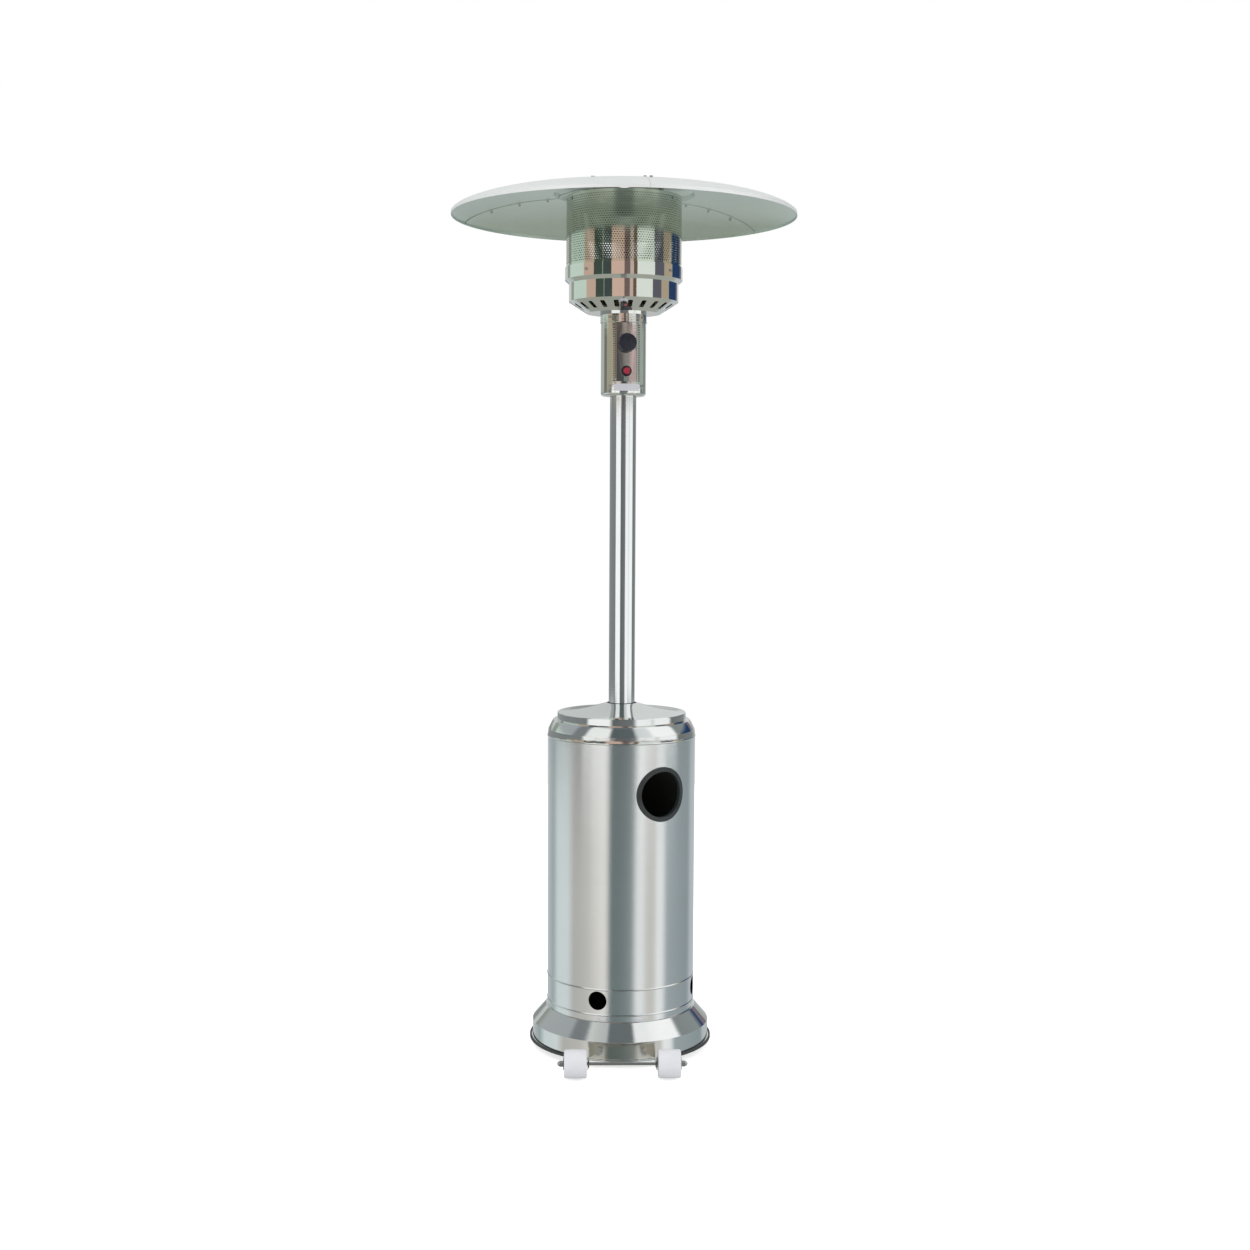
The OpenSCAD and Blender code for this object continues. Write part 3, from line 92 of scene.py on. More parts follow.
# %% Node helpers
class Tree:
    """Adds shader nodes by type, with options and inputs in one call."""

    def __init__(self, node_tree):
        self.tree = node_tree
        self.tree.nodes.clear()

    def add(self, kind, inputs=None, **options):
        node = self.tree.nodes.new(kind)
        for key, value in options.items():
            setattr(node, key, value)
        for key, value in (inputs or {}).items():
            socket = node.inputs[key]
            if isinstance(value, bpy.types.NodeSocket):
                self.tree.links.new(value, socket)
            else:
                socket.default_value = value
        return node

    def math(self, operation, a, b=0.0, c=0.0):
        return self.add("ShaderNodeMath", {0: a, 1: b, 2: c}, operation=operation).outputs[0]

    def ramp(self, factor, stops, interpolation="LINEAR"):
        node = self.add("ShaderNodeValToRGB", {"Fac": factor})
        node.color_ramp.interpolation = interpolation
        elements = node.color_ramp.elements
        while len(elements) < len(stops):
            elements.new(0.5)
        for element, (place, colour) in zip(elements, stops):
            element.position = place
            element.color = (*colour, 1)
        return node.outputs["Color"]


def new_material(name):
    """An empty material and the helper for its tree."""
    material = bpy.data.materials.new(name)
    material.use_nodes = True
    return material, Tree(material.node_tree)


print("helpers ready")

# %% [markdown]
# Polished steel shows the room, not itself. The real heater was lit in a room with a dark part
# behind the camera and pale walls beside it, so the world holds upright bands for reflections
# and plain white for everything else. The bands are tied to the room's directions, so they slide
# over the steel as it would really happen when someone walks round the heater. A low part of the
# heater shows the low part of the room, so each height of the room has its own table.

# %% Bands of the room
FULL_TURN = 2 * math.pi

# Azimuth in degrees from the camera's side, towards the right, and the linear colour from there on
BODY_BANDS = [
    (-180, (0.62, 0.66, 0.67)), (-132, (0.36, 0.42, 0.43)), (-118, (0.66, 0.74, 0.75)), (-92, (0.70, 0.76, 0.76)),
    (-80, (0.50, 0.49, 0.47)), (-55, (0.56, 0.55, 0.52)), (-30, (0.82, 0.80, 0.76)), (-22, (0.82, 0.81, 0.78)),
    (-19, (0.14, 0.18, 0.18)), (2, (0.19, 0.23, 0.235)), (17, (0.28, 0.32, 0.325)), (23, (0.86, 0.88, 0.87)),
    (34, (0.84, 0.86, 0.85)), (40, (0.62, 0.60, 0.57)), (52, (0.60, 0.59, 0.57)), (58, (0.90, 0.92, 0.91)),
    (68, (0.86, 0.89, 0.89)), (75, (0.36, 0.41, 0.43)), (128, (0.28, 0.33, 0.35)), (140, (0.5, 0.54, 0.56)),
]
CONTROL_BANDS = [
    (-180, (0.42, 0.45, 0.42)), (-118, (0.17, 0.18, 0.16)), (-97, (0.36, 0.35, 0.26)), (-62, (0.42, 0.38, 0.30)),
    (-47, (0.20, 0.14, 0.11)), (-38, (0.55, 0.48, 0.43)), (-12, (0.07, 0.075, 0.075)), (13, (0.20, 0.235, 0.215)),
    (21, (0.44, 0.33, 0.33)), (31, (0.27, 0.22, 0.21)), (40, (0.50, 0.48, 0.45)), (68, (0.33, 0.38, 0.35)),
    (122, (0.22, 0.25, 0.23)), (150, (0.45, 0.48, 0.47)),
]
POLE_BANDS = [
    (-180, (0.30, 0.32, 0.33)), (-110, (0.22, 0.235, 0.24)), (-66, (0.20, 0.215, 0.22)), (-61, (1.02, 1.04, 1.04)),
    (-22, (1.02, 1.04, 1.04)), (-17, (0.13, 0.14, 0.145)), (20, (0.18, 0.19, 0.195)), (26, (1.0, 1.02, 1.02)),
    (50, (0.98, 1.0, 1.0)), (56, (0.72, 0.75, 0.75)), (61, (1.0, 1.02, 1.02)), (92, (1.0, 1.02, 1.02)),
    (98, (0.17, 0.18, 0.18)), (140, (0.22, 0.24, 0.24)), (165, (0.5, 0.52, 0.52)),
]
HEAD_BANDS = [
    (-180, (0.58, 0.61, 0.60)), (-146, (0.30, 0.34, 0.30)), (-131, (0.55, 0.67, 0.60)), (-87, (0.54, 0.40, 0.32)),
    (-62, (0.05, 0.075, 0.06)), (-44.5, (0.30, 0.36, 0.30)), (-42.5, (0.05, 0.07, 0.065)),
    (-26, (0.62, 0.44, 0.36)), (0, (0.17, 0.12, 0.11)), (10, (0.52, 0.44, 0.38)), (18, (0.15, 0.09, 0.07)),
    (24.5, (0.74, 0.80, 0.75)), (60.6, (0.11, 0.11, 0.14)), (83, (0.42, 0.35, 0.26)), (107, (0.02, 0.05, 0.13)),
    (140, (0.2, 0.17, 0.2)), (150, (0.68, 0.71, 0.70)),
]
CEILING_BANDS = [
    (-180, (0.60, 0.63, 0.63)), (-142, (0.50, 0.54, 0.54)), (-134, (0.42, 0.45, 0.46)),
    (-92, (0.38, 0.41, 0.42)), (-86, (0.21, 0.23, 0.24)), (-68, (0.21, 0.23, 0.24)),
    (-62, (0.92, 0.95, 0.94)), (-24, (0.97, 0.98, 0.96)), (-20, (0.10, 0.125, 0.13)), (22, (0.12, 0.145, 0.15)),
    (27, (0.70, 0.74, 0.75)), (50, (0.78, 0.81, 0.82)), (57, (1.05, 1.06, 1.06)), (97, (1.05, 1.06, 1.06)),
    (102, (0.24, 0.27, 0.27)), (138, (0.28, 0.31, 0.31)), (150, (0.60, 0.63, 0.63)), (172, (0.70, 0.73, 0.72)),
]
ZENITH_BANDS = [
    (-180, (0.42, 0.46, 0.46)), (-120, (0.40, 0.43, 0.44)), (-91, (0.40, 0.43, 0.44)), (-86, (0.22, 0.24, 0.25)),
    (-65, (0.25, 0.27, 0.28)), (-60, (0.60, 0.62, 0.60)), (-30, (0.52, 0.55, 0.55)), (-25, (0.15, 0.17, 0.175)),
    (26, (0.15, 0.17, 0.175)), (31, (0.92, 0.94, 0.94)), (84, (0.96, 0.98, 0.98)), (90, (0.42, 0.45, 0.46)),
    (140, (0.42, 0.45, 0.46)),
]
FLOOR_BANDS = [(-180, (0.32, 0.34, 0.30)), (-24, (0.36, 0.38, 0.34)), (-20, (0.15, 0.16, 0.15)),
               (18, (0.15, 0.16, 0.15)), (22, (0.36, 0.38, 0.34))]
COVER_BANDS = [
    (-180, (0.45, 0.49, 0.50)), (-118, (0.42, 0.45, 0.45)), (-104, (0.58, 0.61, 0.61)), (-78, (0.52, 0.55, 0.55)),
    (-74, (0.20, 0.22, 0.23)), (-50, (0.22, 0.24, 0.25)), (-47, (0.92, 0.95, 0.95)), (-20, (0.90, 0.92, 0.91)),
    (-17, (0.09, 0.12, 0.12)), (23, (0.10, 0.13, 0.13)), (26, (0.95, 0.97, 0.97)), (47, (0.95, 0.97, 0.97)),
    (50, (0.42, 0.40, 0.37)), (76, (0.44, 0.42, 0.40)), (79, (0.85, 0.88, 0.88)), (86, (0.30, 0.34, 0.36)),
    (130, (0.34, 0.38, 0.39)), (150, (0.48, 0.52, 0.53)),
]
# Where each table starts, as the sine of its height seen from the heater, and the blend's half width
BAND_STARTS = [
    (COVER_BANDS, -0.137, 0.003), (POLE_BANDS, -0.118, 0.003), (CONTROL_BANDS, 0.0545, 0.001),
    (HEAD_BANDS, 0.0985, 0.001), (CEILING_BANDS, 0.30, 0.05), (ZENITH_BANDS, 0.82, 0.04),
]
SHARP_TABLES = (CONTROL_BANDS, HEAD_BANDS)
FLOOR_END, FLOOR_BLEND = -0.45, 0.06
print("bands", [len(table) for table, _, _ in BAND_STARTS])

# %% [markdown]
# Each table becomes a colour ramp along the azimuth. The ramps are stacked by height: a map range
# turns from 0 to 1 where the next table starts, and a mix node passes over to that table.

# %% Mirror image of the room
world = bpy.data.worlds.new("room")
scene.world = world
world.use_nodes = True
room = Tree(world.node_tree)
way = room.add("ShaderNodeSeparateXYZ", {0: room.add("ShaderNodeTexCoord").outputs["Generated"]})
azimuth = room.math("ARCTAN2", way.outputs["X"], room.math("MULTIPLY", way.outputs["Y"], -1.0))
share = room.math("ADD", room.math("DIVIDE", azimuth, FULL_TURN), 0.5)


def around(table, kind="LINEAR"):
    """One table of bands as a ramp that runs once round the room."""
    return room.ramp(share, [((angle + 180) / 360, colour) for angle, colour in table], kind)


def above(start, blend):
    """0 below a height of the room, 1 above it."""
    return room.add("ShaderNodeMapRange", {
        "Value": way.outputs["Z"], "From Min": start - blend, "From Max": start + blend}).outputs[0]


def stacked(low, high, start, blend):
    return room.add("ShaderNodeMixRGB", {"Fac": above(start, blend), "Color1": low, "Color2": high}).outputs[0]


bands = around(BODY_BANDS)
for table, start, blend in BAND_STARTS:
    bands = stacked(bands, around(table, "CONSTANT" if table in SHARP_TABLES else "LINEAR"), start, blend)
bands = stacked(around(FLOOR_BANDS), bands, FLOOR_END, FLOOR_BLEND)
print("stacked tables", len(BAND_STARTS) + 2)

# %% [markdown]
# The world is used in three ways. Mirror reflections see the bands, the camera sees plain white,
# and all other light is an even fill, so that the colours stay as they are written.

# %% Light of the room
FILL_STRENGTH = 0.75
WHITE = (1, 1, 1, 1)

rays = room.add("ShaderNodeLightPath").outputs
fill = room.add("ShaderNodeBackground", {"Color": WHITE, "Strength": FILL_STRENGTH})
mirror = room.add("ShaderNodeBackground", {"Color": bands, "Strength": 1.0})
white = room.add("ShaderNodeBackground", {"Color": WHITE, "Strength": 1.0})
lit = room.add("ShaderNodeMixShader", {0: rays["Is Glossy Ray"], 1: fill.outputs[0], 2: mirror.outputs[0]})
seen = room.add("ShaderNodeMixShader", {0: rays["Is Camera Ray"], 1: lit.outputs[0], 2: white.outputs[0]})
room.add("ShaderNodeOutputWorld", {"Surface": seen.outputs[0]})
print("fill", FILL_STRENGTH)

# %% [markdown]
# The floor is white and catches the soft shadow. A camera sees its colour lifted to the white of
# the background, and reflections look through it to the room, as on a small studio table.

# %% Floor
FLOOR_HALF = 4.0
FLOOR_GREY = 0.86
FLOOR_LIFT = 0.62

floor_mesh = bpy.data.meshes.new("floor")
floor_mesh.from_pydata([(-FLOOR_HALF, -FLOOR_HALF, 0), (FLOOR_HALF, -FLOOR_HALF, 0),
                        (FLOOR_HALF, FLOOR_HALF, 0), (-FLOOR_HALF, FLOOR_HALF, 0)], [], [(0, 1, 2, 3)])
floor = bpy.data.objects.new("floor", floor_mesh)
scene.collection.objects.link(floor)
floor_white, board = new_material("floor_white")
floor_rays = board.add("ShaderNodeLightPath").outputs
paint = board.add("ShaderNodeBsdfDiffuse", {"Color": (FLOOR_GREY, FLOOR_GREY, FLOOR_GREY, 1)})
lift = board.add("ShaderNodeEmission", {"Color": WHITE, "Strength": FLOOR_LIFT})
painted = board.add("ShaderNodeAddShader", {0: paint.outputs[0], 1: lift.outputs[0]})
plain = board.add("ShaderNodeMixShader", {
    0: floor_rays["Is Camera Ray"], 1: paint.outputs[0], 2: painted.outputs[0]})
clear = board.add("ShaderNodeBsdfTransparent")
surface = board.add("ShaderNodeMixShader", {
    0: floor_rays["Is Glossy Ray"], 1: plain.outputs[0], 2: clear.outputs[0]})
board.add("ShaderNodeOutputMaterial", {"Surface": surface.outputs[0]})
floor_mesh.materials.append(floor_white)
print("floor", 2 * FLOOR_HALF, "m wide")

# %% [markdown]
# Three large soft lamps stand round the heater. They are hidden from reflections, because the
# bands of the room already draw everything that the steel should mirror.

# %% Lamps
# Place, aim, size in metres and power in watts
LAMPS = {
    "key": ((-1.6, -2.6, 3.4), (0, 0, 1.2), 1.6, 26),
    "side": ((2.8, -1.2, 2.2), (0, 0, 1.0), 1.4, 14),
    "back": ((0.4, 2.8, 3.0), (0, 0, 1.3), 1.6, 12),
}
for name, (place, aim, size, power) in LAMPS.items():
    lamp_data = bpy.data.lights.new(name, "AREA")
    lamp_data.size = size
    lamp_data.energy = power
    lamp = bpy.data.objects.new(name, lamp_data)
    lamp.location = place
    lamp.rotation_euler = (Vector(aim) - Vector(place)).to_track_quat("-Z", "Y").to_euler()
    lamp.visible_glossy = False
    scene.collection.objects.link(lamp)
print("lamps", list(LAMPS))

# %% [markdown]
# Steel differs by how it was worked: rolled sheet has fine lines round the tube, spun sheet has
# rings, drawn tube has lines along it, and polished sheet has only faint waves and a few scuffs.
# One function makes all of them. Noise is stretched along the lines, and it drives the roughness,
# the bump and a slight change of colour.


# %% Metals
STAIN_SCALE = 5.0
SCUFF_SCALE = 42.0
SCUFF_RANGE = (0.58, 0.78)
LINE_RELIEF = 0.002


def metal(name, colour, rough, lines=(60, 60, 900), line_depth=0.02, spread=0.06, scuffs=0.12, wave=0.0):
    """Steel or aluminium with worked lines, scuffs and faint stains. Lines run along the small scale."""
    material, tree = new_material(name)
    place = tree.add("ShaderNodeTexCoord").outputs["Object"]
    stretched = tree.add("ShaderNodeMapping", {"Vector": place, "Scale": lines}).outputs[0]
    grain = tree.add("ShaderNodeTexNoise", {
        "Vector": stretched, "Scale": 1.0, "Detail": 4.0, "Roughness": 0.6}).outputs[0]
    cloud = tree.add("ShaderNodeTexNoise", {"Vector": place, "Scale": STAIN_SCALE, "Detail": 3.0}).outputs[0]
    specks = tree.add("ShaderNodeTexNoise", {
        "Vector": place, "Scale": SCUFF_SCALE, "Detail": 6.0, "Roughness": 0.7}).outputs[0]
    worn = tree.add("ShaderNodeMapRange", {
        "Value": specks, "From Min": SCUFF_RANGE[0], "From Max": SCUFF_RANGE[1], "To Max": scuffs}, clamp=True)
    dark = tuple(c * (1 - spread) for c in colour)
    pale = tuple(min(1.0, c * (1 + spread)) for c in colour)
    blotch = tree.math("MULTIPLY_ADD", grain, 0.45, tree.math("MULTIPLY", cloud, 0.55))
    tint = tree.ramp(blotch, [(0.35, dark), (0.65, pale)])
    sheen = tree.math("MULTIPLY_ADD", grain, 0.30 * rough, 0.85 * rough)
    gloss = tree.math("ADD", sheen, tree.math("MULTIPLY", worn.outputs[0], 0.5))
    relief = tree.math("MULTIPLY_ADD", cloud, wave, grain)
    bump = tree.add("ShaderNodeBump", {
        "Height": relief, "Strength": line_depth, "Distance": LINE_RELIEF}).outputs[0]
    shader = tree.add("ShaderNodeBsdfPrincipled", {
        "Base Color": tint, "Metallic": 1.0, "Roughness": gloss, "Normal": bump})
    tree.add("ShaderNodeOutputMaterial", {"Surface": shader.outputs[0]})
    return material


print("metals ready")

# %% [markdown]
# Moulded pieces have a fine even grain, and dust and rubbing in soft patches. The same function
# serves plastic, rubber, enamel and glazed ceramic, and a clear coat makes the ceramic and the red button shine.


# %% Moulded and glazed finishes
DUST_SCALE = 18.0
GRAIN_RELIEF = 0.0005


def solid(name, colour, rough, speckle=0.05, grain_scale=900.0, depth=0.05, coat=0.0):
    """Moulded plastic, rubber, ceramic or paint with a fine grain, dust and slight rubbing."""
    material, tree = new_material(name)
    place = tree.add("ShaderNodeTexCoord").outputs["Object"]
    grain = tree.add("ShaderNodeTexNoise", {"Vector": place, "Scale": grain_scale, "Detail": 2.0}).outputs[0]
    dust = tree.add("ShaderNodeTexNoise", {"Vector": place, "Scale": DUST_SCALE, "Detail": 5.0}).outputs[0]
    dark = tuple(c * (1 - speckle) for c in colour)
    pale = tuple(min(1.0, c * (1 + speckle) + 0.1 * speckle) for c in colour)
    tint = tree.ramp(dust, [(0.35, dark), (0.7, pale)])
    gloss = tree.math("MULTIPLY_ADD", dust, 0.25, rough - 0.12)
    bump = tree.add("ShaderNodeBump", {
        "Height": grain, "Strength": depth, "Distance": GRAIN_RELIEF}).outputs[0]
    shader = tree.add("ShaderNodeBsdfPrincipled", {
        "Base Color": tint, "Roughness": gloss, "Normal": bump, "Coat Weight": coat})
    tree.add("ShaderNodeOutputMaterial", {"Surface": shader.outputs[0]})
    return material


print("moulded finishes ready")

# %% [markdown]
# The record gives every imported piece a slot, such as brushed housing or knob black. Each slot gets
# one finish here, so pieces of the same stock share it. Colours are linear, as Blender wants them.

# %% Finish of every slot
FINISH = {
    "galvanised": metal("zinc_plate", (0.52, 0.53, 0.54), 0.42, (30, 30, 30), 0.05, 0.12),
    "polished_base": metal("spun_base_steel", (0.82, 0.83, 0.82), 0.07, (40, 40, 700), 0.03, 0.03, 0.10, 0.6),
    "edge_trim": solid("edge_trim_rubber", (0.05, 0.055, 0.055), 0.55),
    "rubber": solid("black_rubber", (0.02, 0.02, 0.02), 0.6),
    "fastener": metal("bright_zinc", (0.66, 0.66, 0.64), 0.25, (200, 200, 200), 0.05),
    # Dark washers and spacers beside the wheels: near-black steel, partly their own dark colour and partly painted
    # shade for the narrow gap between wheel and bracket.
    "dark_washer": metal("washer_steel_painted_gap_shade", (0.07, 0.07, 0.07), 0.35, (200, 200, 200), 0.05),
    "bracket_steel": metal("bracket_steel", (0.58, 0.57, 0.52), 0.16, (30, 900, 30), 0.04),
    "white_plastic": solid("white_wheel_plastic", (0.86, 0.87, 0.91), 0.42, 0.03, 400, 0.04),
    "brass": metal("turned_brass", (0.72, 0.52, 0.25), 0.25, (300, 300, 300), 0.05),
    "copper": metal("drawn_copper", (0.72, 0.40, 0.27), 0.3, (300, 300, 20), 0.05),
    "brushed_housing": metal("brushed_housing_steel", (0.83, 0.84, 0.84), 0.16, (25, 25, 1400), 0.05, 0.03,
                             0.06, 0.3),
    "polished_cover": metal("spun_cover_steel", (0.82, 0.83, 0.82), 0.08, (60, 60, 900), 0.04, 0.03, 0.08, 0.4),
    "pole_steel": metal("bright_pole_steel", (0.88, 0.89, 0.89), 0.07, (700, 700, 8), 0.02, 0.03, 0.05, 0.2),
    "black_plastic": solid("black_trim_plastic", (0.018, 0.024, 0.024), 0.45, 0.2, 700, 0.1),
    "mirror_steel": metal("mirror_head_steel", (0.88, 0.88, 0.85), 0.035, (50, 50, 300), 0.015, 0.03, 0.08, 0.8),
    "escutcheon_steel": metal("escutcheon_steel", (0.90, 0.84, 0.82), 0.10, (700, 30, 30), 0.03),
    "plate_white": solid("blank_plate_enamel", (0.60, 0.60, 0.65), 0.35, 0.04, 200, 0.03),
    "valve_zinc": metal("cast_zinc", (0.55, 0.55, 0.54), 0.4, (120, 120, 120), 0.1),
    "knob_black": solid("knob_plastic", (0.008, 0.010, 0.022), 0.34, 0.2, 900, 0.08),
    "button_red": solid("red_button_plastic", (0.36, 0.02, 0.045), 0.25, 0.06, 600, 0.02, 0.4),
    "ceramic": solid("glazed_ceramic", (0.82, 0.79, 0.72), 0.2, 0.03, 200, 0.02, 0.5),
    "burner_steel": metal("heated_steel", (0.46, 0.44, 0.41), 0.4, (200, 200, 200), 0.05, 0.15),
    "emitter_steel": metal("emitter_steel", (0.74, 0.78, 0.70), 0.07, (60, 60, 500), 0.03, 0.06, 0.1, 0.6),
    "reflector_aluminium": metal("reflector_sheet", (0.80, 0.87, 0.81), 0.38, (30, 30, 30), 0.02, 0.03, 0.08, 0.3),
}
slot_of = {row["node"]: row["material_slot"] for row in frame["record"]["subparts"]}


def paint_object(item, slot_name):
    item.data.materials.clear()
    item.data.materials.append(FINISH[slot_name])


for node_name, item in frame["nodes"].items():
    paint_object(item, slot_of[node_name])
print("finishes", len(FINISH))

# %% [markdown]
# A merged copy stands for an imported piece, and the piece itself is hidden.


# %% Copies that stand for imported pieces
MERGE_REACH = 1e-6


def finished_copy(node_name):
    """A merged copy of a node that stands for it and takes its slot, with the name of the node's body."""
    source = frame["nodes"][node_name]
    mesh = source.data.copy()
    work = bmesh.new()
    work.from_mesh(mesh)
    bmesh.ops.remove_doubles(work, verts=work.verts, dist=MERGE_REACH)
    work.to_mesh(mesh)
    work.free()
    piece = bpy.data.objects.new(node_name + "_finish", mesh)
    scene.collection.objects.link(piece)
    paint_object(piece, slot_of[node_name])
    bodies = frame["record"]["behaviour"]["bodies"]
    body = next(name for name, members in bodies.items() if node_name in members)
    return piece, body


def hand_over(piece, body, *node_names):
    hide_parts(*node_names)
    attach(piece, body)


print("copies ready")

# %% [markdown]
# A mirror finish shows every flat of a faceted tube. The cure is not more facets but true normals:
# each corner of a face takes the direction that the real curve has there. On a piece turned about
# the pole, that direction keeps the face's slope and points away from the pole at the corner.
# Faces that look along the ring, such as the sides of a slot, keep their own flat shading.


# %% True normals for turned sheet
SAME_SHEET = math.cos(math.radians(24))
ALONG_RING = 0.12


def face_data(mesh, what, width):
    values = np.empty(len(mesh.polygons) * width)
    mesh.polygons.foreach_get(what, values)
    return values.reshape(-1, width) if width > 1 else values


def turned_normals(mesh):
    """Corner normals of a piece turned about Z, blended across faces that meet at a small angle."""
    normals, centres = face_data(mesh, "normal", 3), face_data(mesh, "center", 3)
    areas = face_data(mesh, "area", 1)
    radius = np.maximum(np.hypot(centres[:, 0], centres[:, 1]), 1e-6)
    out = centres[:, :2] / radius[:, None]
    radial = (normals[:, :2] * out).sum(1)
    across = normals[:, 1] * out[:, 0] - normals[:, 0] * out[:, 1]
    turned = np.abs(across) < ALONG_RING
    around_vertex = [[] for _ in mesh.vertices]
    for face in mesh.polygons:
        if turned[face.index]:
            for vertex in face.vertices:
                around_vertex[vertex].append(face.index)
    result = []
    for face in mesh.polygons:
        k = face.index
        for vertex in face.vertices:
            if not turned[k]:
                result.append(tuple(normals[k]))
                continue
            slope = np.array([radial[k], normals[k, 2]])
            total = np.zeros(2)
            for other in around_vertex[vertex]:
                near = np.array([radial[other], normals[other, 2]])
                if near @ slope > SAME_SHEET:
                    total += near * areas[other]
            total /= max(np.linalg.norm(total), 1e-9)
            place = mesh.vertices[vertex].co
            length = max(math.hypot(place.x, place.y), 1e-9)
            result.append((total[0] * place.x / length, total[0] * place.y / length, total[1]))
    mesh.shade_smooth()
    mesh.normals_split_custom_set(result)


print("same sheet up to", round(math.degrees(math.acos(SAME_SHEET))), "degrees")

# %% [markdown]
# Sheet steel is polished on one side only. The inside of the housing, of the control head and of
# the emitter is painted dark grey, as painted shade for the closed space behind the sheet, and the
# reflector's top is paler than its underside. A test on each face's normal and centre chooses the
# faces that take the second finish.


# %% Second finish
def second_finish(mesh, finish, chosen):
    """Gives the faces that the test chooses, by normal and centre, a second material."""
    mesh.materials.append(finish)
    last = len(mesh.materials) - 1
    for face in mesh.polygons:
        if chosen(face.normal, face.center):
            face.material_index = last


def outward_share(normal, centre):
    """How far a face looks away from the pole, times the distance of its centre."""
    return normal.x * centre.x + normal.y * centre.y


def faces_pole(normal, centre):
    return outward_share(normal, centre) < -0.5 * math.hypot(centre.x, centre.y)


def faces_up(normal, centre):
    return normal.z > 0.05 or outward_share(normal, centre) > 0.9 * math.hypot(centre.x, centre.y)


# Painted shade: the inner faces of the housing and the control head are dark grey steel that stands in for the
# shade inside them.
HOUSING_INSIDE_PAINTED_SHADE = metal("housing_inside_painted_shade", (0.16, 0.16, 0.15), 0.55, (60, 60, 60), 0.05)
# Painted shade: the inner faces of the emitter screen are dark grey steel that stands in for the shade inside the
# screen.
EMITTER_INSIDE_PAINTED_SHADE = metal("emitter_inside_painted_shade", (0.20, 0.21, 0.17), 0.45, (60, 60, 60), 0.05, 0.15)
BRIGHT_TOP = metal("reflector_top_sheet", (0.93, 0.95, 0.94), 0.5, (30, 30, 30), 0.02, 0.02, 0.06)
BRIGHT_TOP.node_tree.nodes["Principled BSDF"].inputs["Metallic"].default_value = 0.35
# The housing and control head insides take the painted shade; the reflector tops take the paler sheet.
SECOND = {
    "tank_housing": (HOUSING_INSIDE_PAINTED_SHADE, faces_pole), "reflector_panel_1": (BRIGHT_TOP, faces_up),
    "reflector_panel_2": (BRIGHT_TOP, faces_up), "reflector_panel_3": (BRIGHT_TOP, faces_up),
    "control_housing_front": (HOUSING_INSIDE_PAINTED_SHADE, faces_pole), "control_housing_rear": (HOUSING_INSIDE_PAINTED_SHADE, faces_pole),
}
print("second finish on", sorted(SECOND))

# %% [markdown]
# A round piece is easiest to make as on a lathe: an outline of radii and heights goes once round
# the axis, and each pair of neighbouring outlines is joined by four-sided faces. The outline is
# closed, so the piece has a wall and no open edge. A short function says where a corner stands,
# so the same lathe turns the cover about the pole and, later, the wheels about their axle.


# %% Lathe
def lathe(name, outline, sides, corner):
    """A closed ring-shaped solid from an outline of pairs, which corner(pair, angle) puts in place."""
    corners, faces, count = [], [], len(outline)
    for k in range(sides):
        corners += [corner(pair, FULL_TURN * k / sides) for pair in outline]
        ahead = (k + 1) % sides
        for i in range(count):
            j = (i + 1) % count
            faces.append((k * count + i, ahead * count + i, ahead * count + j, k * count + j))
    mesh = bpy.data.meshes.new(name)
    mesh.from_pydata(corners, [], faces)
    work = bmesh.new()
    work.from_mesh(mesh)
    bmesh.ops.recalc_face_normals(work, faces=work.faces)
    work.to_mesh(mesh)
    work.free()
    return mesh


print("lathe ready")

# %% [markdown]
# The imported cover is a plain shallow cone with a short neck. The real one is spun in one sweep that
# grows steeper towards the pole and is turned down into a collar there, so its outline is a power
# curve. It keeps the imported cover's edge and skirt, which its box gives.


# %% Swept cover
COVER_WALL = 0.0012
COVER_SKIRT = 0.016
COVER_RISE = 0.0235
COVER_NECK_R = 0.03804
COVER_COLLAR = 0.007
COVER_SIDES = 240
SWEEP_STEPS = 12
SWEEP_POWER = 1.7


def swept_cover(name):
    """The cover as one sweep that grows steeper towards the pole, turned about Z."""
    low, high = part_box("top_cover")
    edge_r, rim_z = high.x, low.z + COVER_SKIRT
    rim_r, neck_z = edge_r - COVER_WALL, rim_z + COVER_RISE
    sweep = []
    for k in range(SWEEP_STEPS + 1):
        part = k / SWEEP_STEPS
        sweep.append((rim_r + (COVER_NECK_R - rim_r) * part, rim_z + COVER_RISE * part ** SWEEP_POWER))
    outline = [(edge_r, low.z), (edge_r - COVER_WALL / 2, rim_z - COVER_WALL)] + sweep
    outline += [(COVER_NECK_R - COVER_WALL, neck_z), (COVER_NECK_R - COVER_WALL, neck_z - COVER_COLLAR),
                (COVER_NECK_R, neck_z - COVER_COLLAR)]
    outline += [(r, z - COVER_WALL) for r, z in reversed(sweep[1:])]
    outline += [(rim_r - COVER_WALL / 4, rim_z - COVER_WALL), (rim_r, low.z)]
    return lathe(name, outline, COVER_SIDES,
                 lambda pair, angle: (pair[0] * math.cos(angle), pair[0] * math.sin(angle), pair[1]))


print("cover rises", COVER_RISE)

# %% [markdown]
# The shoulder under the cover is packed as a quarter of an ellipse. On the real heater it is nearly
# straight, so the curve's corners, on both sides of the sheet, move inwards by a power of their
# share of the way. The ends of the curve stay where they are, and the piece keeps its height.


# %% Flatter shoulder
SHELF_R = 0.1735
STEP_Z = 0.815
CURVE_WIDTH = 0.012
CURVE_HEIGHT = 0.0235
SHOULDER_SHEET = 0.001
SHOULDER_POWER = 1.8
CURVE_FIT = 0.004


